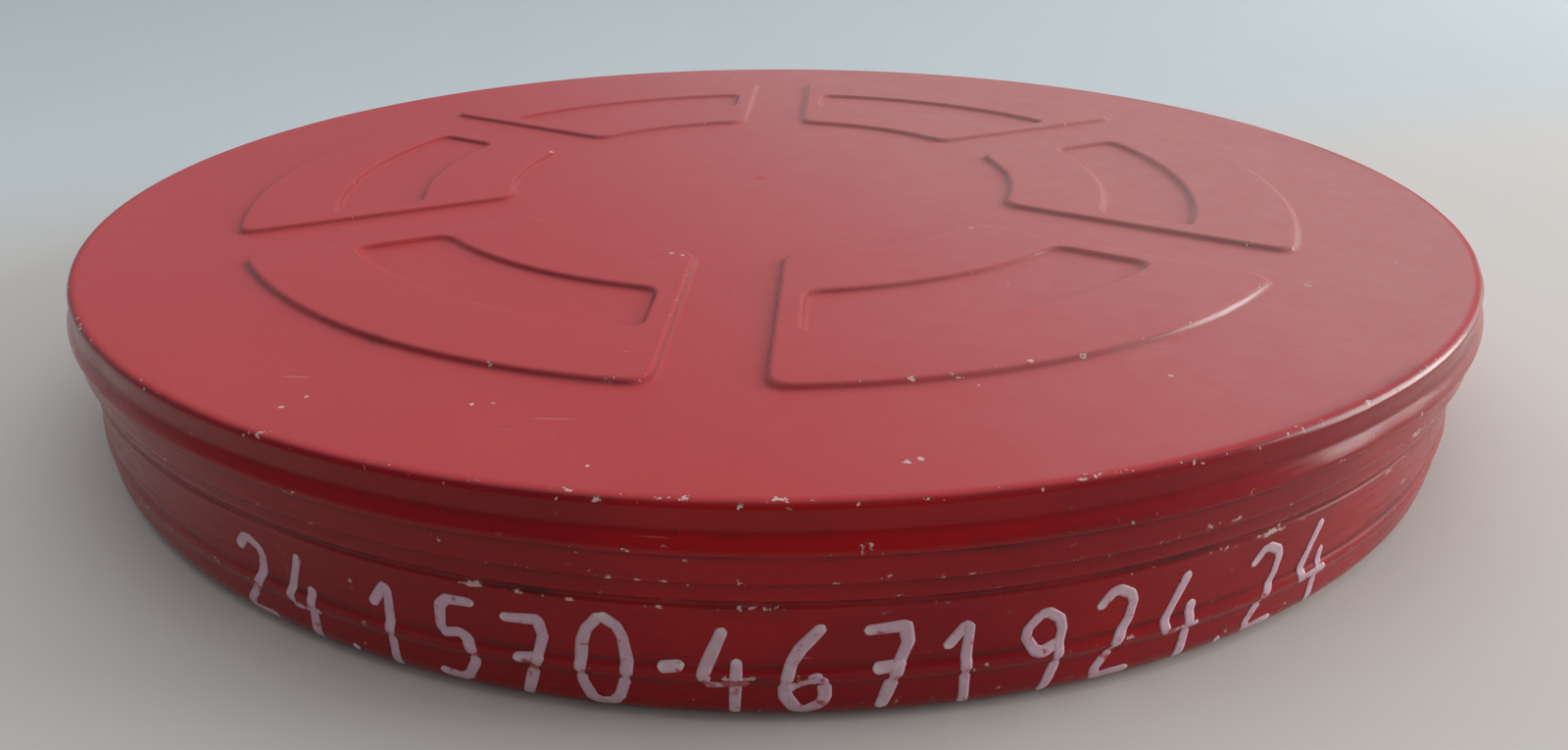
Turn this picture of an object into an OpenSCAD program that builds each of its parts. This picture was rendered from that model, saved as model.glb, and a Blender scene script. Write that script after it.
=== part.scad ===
// Pressed-metal film can with its 35 mm film reel.
// Row frame: millimetres, +Z up, origin at the centre of the can's foot plane.

/* [Can] */
// Outer radius of the lid's neck, just under its top edge
rim_r = 190.9; // [190:0.1:240]
// Gap between the top of the reel and the underside of the lid
headroom = 1.7; // [1:0.1:12]
// Thickness of the pressed sheet of can and lid
sheet_t = 0.6; // [0.4:0.1:0.9]
// Rounding of the lid's top edge
rim_round = 1.6; // [1.2:0.1:2.4]
// Depth of the lid's skirt
skirt_h = 15; // [12:0.1:18]
// Height of the stacking neck at the top of the skirt
neck_h = 5.4; // [4:0.2:7]
// How far the skirt steps out below the neck
skirt_step = 1.6; // [1.2:0.1:2]
// How far the skirt is drawn in again below the step
skirt_draw = 1; // [0.6:0.1:1.4]
// Height of the crease between the step and the skirt
crease_h = 0.9; // [0.6:0.1:1.4]
// Radial clearance between the lid and the can inside it
lid_clearance = 0.6; // [0.4:0.1:0.8]
// Gap between a loose piece and the face that it rests on
seat_gap = 0.3; // [0.2:0.05:0.4]

/* [Can wall] */
// How far the can's wall is set back from the band that the lid slides over
wall_set = 0.2; // [0.2:0.1:0.6]
// Height of the band left bare between the lid's hem and the groove
band_h = 4.8; // [2:0.1:6]
// Half height of the groove between the band and the wall
groove_h = 0.9; // [0.6:0.1:1.4]
// Depth of the groove below the band
groove_d = 0.6; // [0.3:0.1:1]
// Height of the bead round the foot of the wall
bead_h = 2.6; // [2:0.1:4]
// How far the bead stands out of the wall
bead_out = 0.7; // [0.5:0.1:1]
// Height of the foot below the bead
foot_h = 9; // [7:0.1:11]
// How far the foot stands out beyond the wall above the bead
foot_out = 0.2; // [0.2:0.1:0.4]
// Height of the slope between the foot and the bead
undercut_h = 0.8; // [0.6:0.1:1.2]
// Rounding where the foot turns into the floor
foot_round = 5; // [3:0.1:6]
// Outer radius of the curl at the can's mouth
curl_r = 1.1; // [1:0.1:1.3]
// Width of the foot ring that the can stands on
foot_ring_w = 9.1; // [6:0.1:14]
// Rise of the floor inside the foot ring
floor_rise = 1.2; // [0.8:0.1:1.4]

/* [Lid embossing] */
// Number of raised panels
panel_n = 6; // [5:1:8]
// Inner radius of the raised panels
panel_in_r = 75.5; // [60:0.5:85]
// Width of the flat round the raised panels, out to the lid's neck
panel_border = 39.9; // [24:0.1:50]
// Half width of the flat spoke between two panels
spoke_half_w = 10.8; // [6:0.1:16]
// Corner rounding of the panels
panel_round = 5; // [3:0.5:7]
// Height of the raised panels
emboss_h = 1.3; // [0.8:0.1:1.8]
// Margin between the panel's inner edge and the sunk bar in it
bar_inner_margin = 26.5; // [10:0.5:30]
// Margin between the panel's outer edge and the sunk bar in it
bar_outer_margin = 25.5; // [10:0.5:30]
// Margin between the panel's side and the end of the sunk bar
bar_margin = 6.2; // [5:0.1:9]
// Corner rounding of the sunk bar
bar_round = 4; // [2:0.5:6]

/* [Reel] */
// Radial gap between the reel and the can's foot
reel_clearance = 4.7; // [1:0.1:12]
// Thickness of a flange
flange_t = 0.8; // [0.6:0.1:1.2]
// Radius of the rolled edge of a flange
flange_curl_r = 1.2; // [1:0.1:1.4]
// Number of windows in a flange
window_n = 6; // [4:1:8]
// Inner radius of the windows
window_in_r = 78; // [70:0.5:85]
// Width of the flange's rim outside the windows
flange_rim_w = 27; // [22:0.5:40]
// Half width of the flange's arms between two windows
arm_half_w = 16; // [12:0.5:22]
// Corner rounding of the windows
window_round = 10; // [6:0.5:12]
// Outer radius of the hub drum
drum_r = 50; // [40:0.5:60]
// Thickness of the hub drum's wall
drum_t = 1; // [0.8:0.1:1.5]
// Width of the slot that takes the film's inner end
drum_slot_w = 2.2; // [1.5:0.1:3]
// Radius of the hub plates
plate_r = 32; // [26:0.5:38]
// Thickness of a hub plate
plate_t = 1.5; // [1.2:0.1:1.7]
// Outer radius of the spindle sleeve
sleeve_r = 9; // [7.5:0.1:11]
// Radius of the spindle bore
bore_r = 4.05; // [3.8:0.05:5]
// Width of the keyway in the spindle bore
keyway_w = 3; // [2:0.1:3.5]
// Depth of the keyway beyond the bore
keyway_d = 1.8; // [1:0.1:2.2]
// Clearance between pieces that are pushed together
fit_gap = 0.05; // [0.03:0.01:0.08]

/* [Rivets] */
// Number of rivets on each hub plate
rivet_n = 6; // [3:1:8]
// Pitch radius of the rivets
rivet_pitch_r = 23; // [18:0.5:25]
// Radius of a rivet's shank
rivet_r = 1.6; // [1.2:0.1:2]
// Radius of a rivet's head
rivet_head_r = 3.2; // [2.8:0.1:4]
// Height of a rivet's head
rivet_head_h = 1; // [0.7:0.1:1.1]

/* [Film] */
// Width of the film
film_w = 35; // [32:0.5:70]
// Side clearance between the film and a flange
film_side_gap = 0.5; // [0.3:0.1:0.8]
// How far the outside of the wound film lies inside the flange's edge
film_freeboard = 19; // [8:0.5:60]
// Thickness of the leader wrapped round the film
leader_t = 0.3; // [0.2:0.05:0.4]
// Angle that the leader's last wrap covers
leader_angle = 318; // [200:1:340]
// Length of the tape that holds the leader's end
tape_l = 52; // [30:1:80]
// Width of the tape
tape_w = 19; // [12:1:25]
// Thickness of the tape
tape_t = 0.25; // [0.2:0.05:0.3]

/* [Hidden] */

$fn = 180;
corner_steps = 6;                       // chords in a rounded corner of an outline
arc_step = 3;                           // degrees between points along an outline's arc
over = 1;                               // how far a cut runs past what it cuts
fine = 0.2;                             // rounding left at a pressed bend

floor_z = floor_rise;
floor_top_z = floor_z + sheet_t;
reel_z = floor_top_z + seat_gap;        // underside of the lower hub plate
lower_flange_z = reel_z + plate_t;
winding_z = lower_flange_z + flange_t;  // inner face of the lower flange
winding_h = film_w + 2 * film_side_gap;
upper_flange_z = winding_z + winding_h;
upper_plate_z = upper_flange_z + flange_t;
reel_top_z = upper_plate_z + plate_t;
film_z = winding_z + film_side_gap;

lid_under_z = reel_top_z + headroom;
lid_flat_z = lid_under_z + sheet_t;
hem_z = lid_flat_z - skirt_h;
skirt_r = rim_r + skirt_step;
hem_r = skirt_r - skirt_draw;
neck_r = rim_r - sheet_t - lid_clearance;
band_r = hem_r - sheet_t - lid_clearance;
wall_r = band_r - wall_set;
foot_r = wall_r + foot_out;
mouth_z = lid_under_z - seat_gap;       // top of the can's curled mouth
groove_z = hem_z - band_h;
lid_step_z = lid_flat_z - neck_h;       // top of the slope where the lid's skirt steps out
can_step_z = lid_step_z - lid_clearance;
foot_in_r = foot_r - foot_round - foot_ring_w;

panel_out_r = rim_r - panel_border;
bar_in_r = panel_in_r + bar_inner_margin;
bar_out_r = panel_out_r - bar_outer_margin;

flange_r = foot_r - sheet_t - reel_clearance;
window_out_r = flange_r - flange_rim_w;
film_r = flange_r - film_freeboard;
leader_r = film_r + fit_gap;
tape_r = leader_r + leader_t + fit_gap;

red = [0.66, 0.1, 0.13];
steel = [0.72, 0.73, 0.74];
zinc = [0.62, 0.63, 0.65];
film_grey = [0.16, 0.13, 0.13];
leader_white = [0.86, 0.85, 0.8];
tape_cream = [0.85, 0.76, 0.52];

// Names of one hub plate's rivets.
function rivet_names(start) = [for (i = [1:rivet_n]) str(start, i)];

// Points along a circular arc, from angle a0 to angle a1, about a centre.
function arc(centre, r, a0, a1, n) =
    [for (i = [0:n]) let (a = a0 + (a1 - a0) * i / n) centre + r * [cos(a), sin(a)]];

// Outline of a ring sector between two spokes of constant width, with rounded corners.
// The sector is centred on +X, span is the angle between the spokes' centre lines.
function sector(r_in, r_out, half_w, round_r, span) =
    let (
        half = span / 2,
        out_c = r_out - round_r,
        in_c = r_in + round_r,
        out_a = asin((half_w + round_r) / out_c),
        in_a = asin((half_w + round_r) / in_c),
        n_out = ceil((span - 2 * out_a) / arc_step),
        n_in = ceil((span - 2 * in_a) / arc_step),
        at = function(r, a) r * [cos(a), sin(a)]
    )
    concat(
        arc(at(out_c, out_a - half), round_r, -half - 90, out_a - half, corner_steps),
        [for (i = [1:n_out - 1]) at(r_out, out_a - half + (span - 2 * out_a) * i / n_out)],
        arc(at(out_c, half - out_a), round_r, half - out_a, half + 90, corner_steps),
        arc(at(in_c, half - in_a), round_r, half + 90, 180 + half - in_a, corner_steps),
        [for (i = [1:n_in - 1]) at(r_in, half - in_a - (span - 2 * in_a) * i / n_in)],
        arc(at(in_c, in_a - half), round_r, 180 + in_a - half, 270 - half, corner_steps));

// Unit vector to the left of the way from a to b.
function left_of(a, b) = let (d = (b - a) / norm(b - a)) [-d.y, d.x];

// The open line set over to its left by t, with mitred corners. The ends keep their own normals.
function beside(line, t) =
    [for (i = [0:len(line) - 1])
        let (
            n0 = left_of(line[max(i - 1, 0)], line[max(i, 1)]),
            n1 = left_of(line[min(i, len(line) - 2)], line[min(i + 1, len(line) - 1)]),
            m = n0 + n1
        )
        line[i] + 2 * t * m / (m * m)];

// Closed section of a sheet whose outer face follows the line and that lies to its left.
function sheet_section(line, t) = concat(line, reversed(beside(line, t)));

// Outer face of the can's section, from the floor's centre to the curl at the mouth.
function can_line() = concat(
    [[0, floor_z], [foot_in_r - 2 * floor_rise, floor_z],
     [foot_in_r, 0], [foot_r - foot_round, 0]],
    arc([foot_r - foot_round, foot_round], foot_round, -75, 0, corner_steps),
    [[foot_r, foot_h],
     [wall_r + bead_out, foot_h + undercut_h],
     [wall_r + bead_out, foot_h + undercut_h + bead_h * 0.6],
     [wall_r, foot_h + undercut_h + bead_h],
     [wall_r, groove_z - groove_h],
     [band_r - groove_d, groove_z - fine], [band_r - groove_d, groove_z + fine],
     [band_r, groove_z + groove_h], [band_r, can_step_z - 2 * skirt_step],
     [neck_r, can_step_z], [neck_r, mouth_z - curl_r]]);

function reversed(points) = [for (i = [len(points) - 1:-1:0]) points[i]];

// The can's pan: floor, foot ring, beaded wall and curled mouth.
module can_base() {
    color(red) {
        rotate_extrude()
            polygon(sheet_section(can_line(), sheet_t));
        rotate_extrude()
            translate([neck_r - curl_r, mouth_z - curl_r])
                intersection() {
                    difference() {
                        circle(curl_r, $fn = 32);
                        circle(curl_r - sheet_t, $fn = 32);
                    }
                    translate([-2 * curl_r, -curl_r / 2])
                        square([4 * curl_r, 4 * curl_r]);
                }
    }
}

// Outer face of the lid's section, from the hem to the centre of the flat.
function lid_line() = concat(
    [[hem_r, hem_z], [hem_r + fine, lid_step_z - skirt_step * 2 - crease_h],
     [skirt_r, lid_step_z - skirt_step * 2],
     [skirt_r - 2 * fine, lid_step_z - skirt_step * 1.2],
     [rim_r + 2 * fine, lid_step_z - fine],
     [rim_r, lid_step_z + 3 * fine]],
    arc([rim_r - rim_round, lid_flat_z - rim_round], rim_round, 0, 80, corner_steps),
    [[rim_r - rim_round, lid_flat_z], [0, lid_flat_z]]);

// One solid with the outline of a raised panel, grown or shrunk by inset, from z0 to z1.
module panel(inset, z0, z1) {
    translate([0, 0, z0])
        linear_extrude(z1 - z0)
            polygon(sector(panel_in_r + inset, panel_out_r - inset, spoke_half_w + inset,
                panel_round - inset, 360 / panel_n));
}

// One solid with the outline of the sunk bar, grown by grow, from z0 to z1.
module bar(grow, z0, z1) {
    translate([0, 0, z0])
        linear_extrude(z1 - z0)
            polygon(sector(bar_in_r - grow, bar_out_r + grow,
                spoke_half_w + bar_margin - grow, bar_round + grow, 360 / panel_n));
}

// Copies round the axis, the first one centred on +X.
module round_axis(n) {
    for (i = [0:n - 1])
        rotate([0, 0, i * 360 / n])
            children();
}

// The lid: one pressing with a stepped skirt, raised panels and a sunk bar in each.
module can_lid() {
    color(red)
        difference() {
            union() {
                rotate_extrude()
                    polygon(sheet_section(lid_line(), sheet_t));
                round_axis(panel_n)
                    panel(0, lid_under_z, lid_flat_z + emboss_h);
            }
            round_axis(panel_n)
                difference() {
                    panel(sheet_t, lid_under_z - over, lid_under_z + emboss_h);
                    bar(sheet_t, lid_under_z - 2 * over, lid_flat_z + 2 * emboss_h);
                }
            round_axis(panel_n)
                bar(0, lid_flat_z, lid_flat_z + 2 * emboss_h);
        }
}

// One flange: disc with a rolled edge, windows, rivet holes and a hole for the sleeve.
// side is 1 on the upper flange and -1 on the lower. The edge rolls towards the film.
module flange(side) {
    curl_z = side > 0 ? flange_t - flange_curl_r : flange_curl_r;
    color(steel)
        difference() {
            union() {
                cylinder(flange_t, r = flange_r - flange_curl_r);
                rotate_extrude()
                    translate([flange_r - flange_curl_r, curl_z])
                        circle(flange_curl_r, $fn = 32);
            }
            translate([0, 0, -over])
                cylinder(flange_t + 2 * over, r = sleeve_r + fit_gap);
            round_axis(window_n)
                translate([0, 0, -over])
                    linear_extrude(flange_t + 2 * over)
                        polygon(sector(window_in_r, window_out_r, arm_half_w,
                            window_round, 360 / window_n));
            rivet_holes(flange_t);
        }
}

// Holes for the rivets, drilled through a sheet of that height.
module rivet_holes(height) {
    round_axis(rivet_n)
        translate([rivet_pitch_r, 0, -over])
            cylinder(height + 2 * over, r = rivet_r + fit_gap, $fn = 32);
}

module lower_flange() {
    translate([0, 0, lower_flange_z])
        flange(-1);
}

module upper_flange() {
    translate([0, 0, upper_flange_z])
        flange(1);
}

// Tube between the flanges that the film is wound on, with a slot for its inner end.
module hub_drum() {
    color(steel)
        translate([0, 0, winding_z])
            difference() {
                cylinder(winding_h, r = drum_r);
                translate([0, 0, -over])
                    cylinder(winding_h + 2 * over, r = drum_r - drum_t);
                translate([0, -drum_slot_w / 2, film_side_gap])
                    cube([drum_r + over, drum_slot_w, film_w]);
            }
}

// Disc that stiffens a flange round the spindle sleeve.
module hub_plate() {
    color(zinc)
        difference() {
            cylinder(plate_t, r = plate_r);
            translate([0, 0, -over])
                cylinder(plate_t + 2 * over, r = sleeve_r + fit_gap);
            rivet_holes(plate_t);
        }
}

module lower_hub_plate() {
    translate([0, 0, reel_z])
        hub_plate();
}

module upper_hub_plate() {
    translate([0, 0, upper_plate_z])
        hub_plate();
}

// Tube through both hub plates, bored and keyed for a projector's spindle.
module spindle_sleeve() {
    color(zinc)
        translate([0, 0, reel_z])
            difference() {
                cylinder(reel_top_z - reel_z, r = sleeve_r);
                translate([0, 0, -over])
                    cylinder(reel_top_z - reel_z + 2 * over, r = bore_r);
                translate([0, -keyway_w / 2, -over])
                    cube([bore_r + keyway_d, keyway_w, reel_top_z - reel_z + 2 * over]);
            }
}

// One rivet through a hub plate and a flange, number i of rivet_n. The head lies on the
// flange's inner face, and the shank is clenched flush with the plate's outer face.
module rivet(i) {
    shank_l = plate_t + flange_t;
    color(steel)
        rotate([0, 0, (i - 1) * 360 / rivet_n])
            translate([rivet_pitch_r, 0, 0]) {
                translate([0, 0, -shank_l])
                    cylinder(shank_l, r = rivet_r, $fn = 32);
                rotate_extrude($fn = 32)
                    polygon(concat([[0, 0]],
                        [for (k = [0:corner_steps])
                            [rivet_head_r * cos(90 * k / corner_steps),
                             rivet_head_h * sin(90 * k / corner_steps)]]));
            }
}

module lower_rivet(i) {
    translate([0, 0, winding_z])
        rivet(i);
}

module upper_rivet(i) {
    translate([0, 0, upper_flange_z])
        mirror([0, 0, 1])
            rivet(i);
}

// Plain ring that stands on z = 0.
module ring(r_in, r_out, height) {
    difference() {
        cylinder(height, r = r_out);
        translate([0, 0, -over])
            cylinder(height + 2 * over, r = r_in);
    }
}

// The wound film, as one solid.
module film_pack() {
    color(film_grey)
        translate([0, 0, film_z])
            ring(drum_r + fit_gap, film_r, film_w);
}

// Last wrap of leader round the film.
module leader_tail() {
    color(leader_white)
        translate([0, 0, film_z])
            rotate_extrude(angle = leader_angle)
                translate([leader_r, 0])
                    square([leader_t, film_w]);
}

// Tape across the leader's end, half on the leader and half past it.
module tail_tape() {
    half_a = tape_l / 2 / tape_r * 180 / PI;
    color(tape_cream)
        translate([0, 0, film_z + (film_w - tape_w) / 2])
            rotate([0, 0, leader_angle - half_a])
                rotate_extrude(angle = 2 * half_a)
                    translate([tape_r, 0])
                        square([tape_t, tape_w]);
}

can_base();
can_lid();
lower_flange();
upper_flange();
hub_drum();
lower_hub_plate();
upper_hub_plate();
spindle_sleeve();
film_pack();
leader_tail();
tail_tape();
for (i = [1:rivet_n])
    lower_rivet(i);
for (i = [1:rivet_n])
    upper_rivet(i);
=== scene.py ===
"""Pressed-metal film can with its reel of film: pieces, finishes, light and camera."""

import logging
import math
import random
from dataclasses import dataclass, field
from enum import Enum
from functools import partial
from typing import Any, Sequence

import bmesh
import bpy
import numpy as np
from mathutils import Matrix, Vector


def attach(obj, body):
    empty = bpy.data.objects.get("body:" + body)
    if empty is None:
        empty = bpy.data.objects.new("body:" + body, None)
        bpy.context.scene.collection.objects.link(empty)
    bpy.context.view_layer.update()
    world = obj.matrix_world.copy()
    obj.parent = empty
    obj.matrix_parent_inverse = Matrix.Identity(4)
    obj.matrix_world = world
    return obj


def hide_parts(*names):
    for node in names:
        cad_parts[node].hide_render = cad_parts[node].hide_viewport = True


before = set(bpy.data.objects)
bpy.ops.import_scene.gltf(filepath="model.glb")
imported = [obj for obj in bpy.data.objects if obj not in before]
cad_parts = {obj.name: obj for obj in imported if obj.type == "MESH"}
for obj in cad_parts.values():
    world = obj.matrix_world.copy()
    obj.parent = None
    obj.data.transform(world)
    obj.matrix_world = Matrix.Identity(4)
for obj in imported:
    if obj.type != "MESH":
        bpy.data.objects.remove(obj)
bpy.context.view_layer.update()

LOG = logging.getLogger("film_can")
MM = 0.001                      # one millimetre in metres


class Tone(Enum):
    """Colours of the object's finishes and of the room, as sRGB hex."""

    ENAMEL_DEEP_AND_SHADED = "#8E0B15"          # the deep red of sound paint on the walls, darkened as painted shade for walls that face away from the light
    ENAMEL_LIVELY = "#A80E14"   # patches of the wall that have stayed bright
    ENAMEL_FADED_AND_LIT = "#B2262F"    # the red that sun and handling have bleached on top, paler also as painted light where the top faces the light
    ENAMEL_DULL = "#6C0A12"     # streaks where the lacquer has gone flat
    HAZE_AND_SHEEN = "#BC9490"            # fine dust and scuffing on faces that look up, and painted sheen on the lid's top towards the light
    PRIMER = "#CFAAA3"          # pale undercoat at the edge of a chip
    BARE = "#77705F"            # steel worn bare, dulled to a grey green
    RUST = "#7C3E2A"            # rust that has bled from bare steel
    GRIME_AND_SHADE = "#3A1513"           # dirt in pressed corners and dark pits, and painted shade in creases and recesses
    BRUSHED_WHITE = "#CAA4B2"   # the painter's white, thin enough for the red to show
    POOLED_WHITE = "#EADAD4"    # the same white where the brush stopped and it pooled
    TIN = "#B9B8B4"             # tinned steel of the reel
    TIN_DULL = "#87847E"        # tarnish on the tinned steel
    ZINC = "#9A9C9E"            # zinc plating of the hub
    FILM_DARK = "#1B1415"       # edges of the wound film
    FILM_WARM = "#3A2523"       # wraps whose base shows brown
    LEADER = "#D8D5CA"          # white leader
    TAPE = "#CDB27C"            # aged paper tape
    CLOTH = "#CDC8C3"           # floor of the set
    WALL = "#C3CBCE"            # back of the set


def linear(tone: Tone) -> tuple[float, float, float, float]:
    """Turns an sRGB colour to the linear values that a shader takes.

    Args:
        tone: the colour.

    Returns:
        Red, green, blue and a full alpha.
    """
    code = tone.value.lstrip("#")
    parts = [int(code[i:i + 2], 16) / 255 for i in (0, 2, 4)]
    foot, foot_slope, offset, power = 0.04045, 12.92, 0.055, 2.4
    r, g, b = (c / foot_slope if c <= foot else ((c + offset) / (1 + offset)) ** power for c in parts)
    return r, g, b, 1.0


@dataclass(frozen=True)
class Kind:
    """A kind of node, as data: the inputs that its values go to in order, and its settings."""

    type: str
    inputs: tuple[Any, ...] = ()    # name or number of each input
    settings: dict[str, Any] = field(default_factory=dict)


# arithmetic on one number or two
ADD, SUBTRACT, MULTIPLY, DIVIDE, MAXIMUM, SQRT, COSINE, SINE = (
    Kind("ShaderNodeMath", (0, 1), {"operation": name})
    for name in ("ADD", "SUBTRACT", "MULTIPLY", "DIVIDE", "MAXIMUM", "SQRT", "COSINE", "SINE"))
# one number from two vectors
DISTANCE, DOT = (Kind("ShaderNodeVectorMath", (0, 1), {"operation": name})
                 for name in ("DISTANCE", "DOT_PRODUCT"))
# value, low and high, smoothly to a new low and high, held at both ends
EASE = Kind("ShaderNodeMapRange", ("Value", "From Min", "From Max", "To Min", "To Max"),
            {"interpolation_type": "SMOOTHSTEP"})
# share of the second colour, then the two colours
BLEND = Kind("ShaderNodeMix", (0, 6, 7), {"data_type": "RGBA"})
NOISE = Kind("ShaderNodeTexNoise", ("Vector", "Scale", "Detail", "Roughness", "Distortion"))
RINGS = Kind("ShaderNodeTexNoise", ("W", "Scale", "Detail"), {"noise_dimensions": "1D"})
CELLS = Kind("ShaderNodeTexVoronoi", ("Vector", "Scale", "Randomness"))
STRETCH = Kind("ShaderNodeMapping", ("Vector", "Scale", "Rotation"))
BUMP = Kind("ShaderNodeBump", ("Height", "Distance", "Strength", "Normal"))
# a number that the mesh carries at its points
MARK = Kind("ShaderNodeAttribute", (), {"attribute_type": "GEOMETRY"})
PLACE = Kind("ShaderNodeTexCoord")
FACE = Kind("ShaderNodeNewGeometry")
SPLIT = Kind("ShaderNodeSeparateXYZ", (0,))
JOIN = Kind("ShaderNodeCombineXYZ", (0, 1, 2))
PRINCIPLED = Kind("ShaderNodeBsdfPrincipled")
MATERIAL_END = Kind("ShaderNodeOutputMaterial", ("Surface",))
# kinds that only a recipe for a mesh holds
RECIPE_START = Kind("NodeGroupInput")
RECIPE_END = Kind("NodeGroupOutput", (0,))
REALIZE = Kind("GeometryNodeRealizeInstances", (0,))
DRESS = Kind("GeometryNodeSetMaterial", ("Geometry", "Material"))
# least, most and seed
RANDOM = Kind("FunctionNodeRandomValue", (2, 3, "Seed"), {"data_type": "FLOAT"})
INDEX = Kind("GeometryNodeInputIndex")
POINTS = Kind("GeometryNodePoints", ("Count", "Position"))
SHAPE = Kind("GeometryNodeObjectInfo", ("Object",), {"transform_space": "ORIGINAL"})
COPIES = Kind("GeometryNodeInstanceOnPoints", ("Points", "Instance", "Rotation", "Scale"))
CIRCLE = Kind("GeometryNodeCurvePrimitiveCircle", ("Resolution", "Radius"))
TUBE = Kind("GeometryNodeCurveToMesh", (0, 1))


def link_or_set(tree: bpy.types.NodeTree, socket: bpy.types.NodeSocket, value: Any) -> None:
    """Gives an input its value: a socket, a node, whose first active output it takes, or a plain value."""
    if isinstance(value, bpy.types.Node):
        value = next(output for output in value.outputs if output.enabled)
    if isinstance(value, bpy.types.NodeSocket):
        tree.links.new(value, socket)
    else:
        socket.default_value = value


def add_node(tree: bpy.types.NodeTree, kind: Kind, *values: Any, **settings: Any) -> bpy.types.Node:
    """Adds a node with its settings, and links or sets its inputs.

    Args:
        tree: the tree that takes the node.
        kind: the kind of node.
        values: what each of the kind's inputs gets, in order.
        settings: attributes of the node, beyond those of its kind.

    Returns:
        The node.
    """
    node = tree.nodes.new(kind.type)
    for key, value in {**kind.settings, **settings}.items():
        setattr(node, key, value)
    for key, value in zip(kind.inputs, values):
        link_or_set(tree, node.inputs[key], value)
    return node


@dataclass
class Shader:
    """A new material's tree, its shader and the piece's own coordinates."""

    name: str

    def __post_init__(self) -> None:
        """Makes the material with a Principled shader and nothing linked to it."""
        self.material = bpy.data.materials.new(self.name)
        self.material.use_nodes = True
        self.tree = self.material.node_tree
        self.tree.nodes.clear()
        self.add = partial(add_node, self.tree)
        self.bsdf = self.add(PRINCIPLED)
        self.add(MATERIAL_END, self.bsdf)
        self.where = self.add(PLACE).outputs["Object"]

    def set(self, **inputs: Any) -> None:
        """Links or sets the shader's inputs, with _ for a space in an input's name."""
        for key, value in inputs.items():
            link_or_set(self.tree, self.bsdf.inputs[key.replace("_", " ")], value)

    def from_axis(self) -> bpy.types.Node:
        """The distance from the axis."""
        x, y, _ = self.add(SPLIT, self.where).outputs
        return self.add(SQRT, self.add(ADD, self.add(MULTIPLY, x, x), self.add(MULTIPLY, y, y)))

    def near(self, place: tuple[float, float, float], reach: float) -> bpy.types.Node:
        """1 at a place in mm, falling to 0 at a reach in mm."""
        gap = self.add(DISTANCE, self.where, tuple(v * MM for v in place))
        return self.add(EASE, gap, 0, reach * MM, 1, 0)

    def bump(self, *layers: tuple[Any, float, float]) -> None:
        """Links a bump made of layers of (height, depth in mm, strength)."""
        below: tuple[bpy.types.Node, ...] = ()
        for height, depth_mm, strength in layers:
            below = (self.add(BUMP, height, depth_mm * MM, strength, *below),)
        self.set(Normal=below[0])


def polar(radius: float, degrees: float, centre: tuple[float, float] = (0, 0)) -> tuple[float, float]:
    """The point this far from a centre at this angle."""
    turn = math.radians(degrees)
    return centre[0] + radius * math.cos(turn), centre[1] + radius * math.sin(turn)


@dataclass(frozen=True)
class Nick:
    """A small chip at one place on a painted face."""

    angle: float                    # degrees round the axis
    radius: float                   # mm from the axis
    height: float                   # mm above the floor
    size: float = 1.4               # reach of the chip, mm
    strength: float = 1.0

    def place(self) -> tuple[float, float, float]:
        """Where the nick is, in mm."""
        return (*polar(self.radius, self.angle), self.height)


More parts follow.
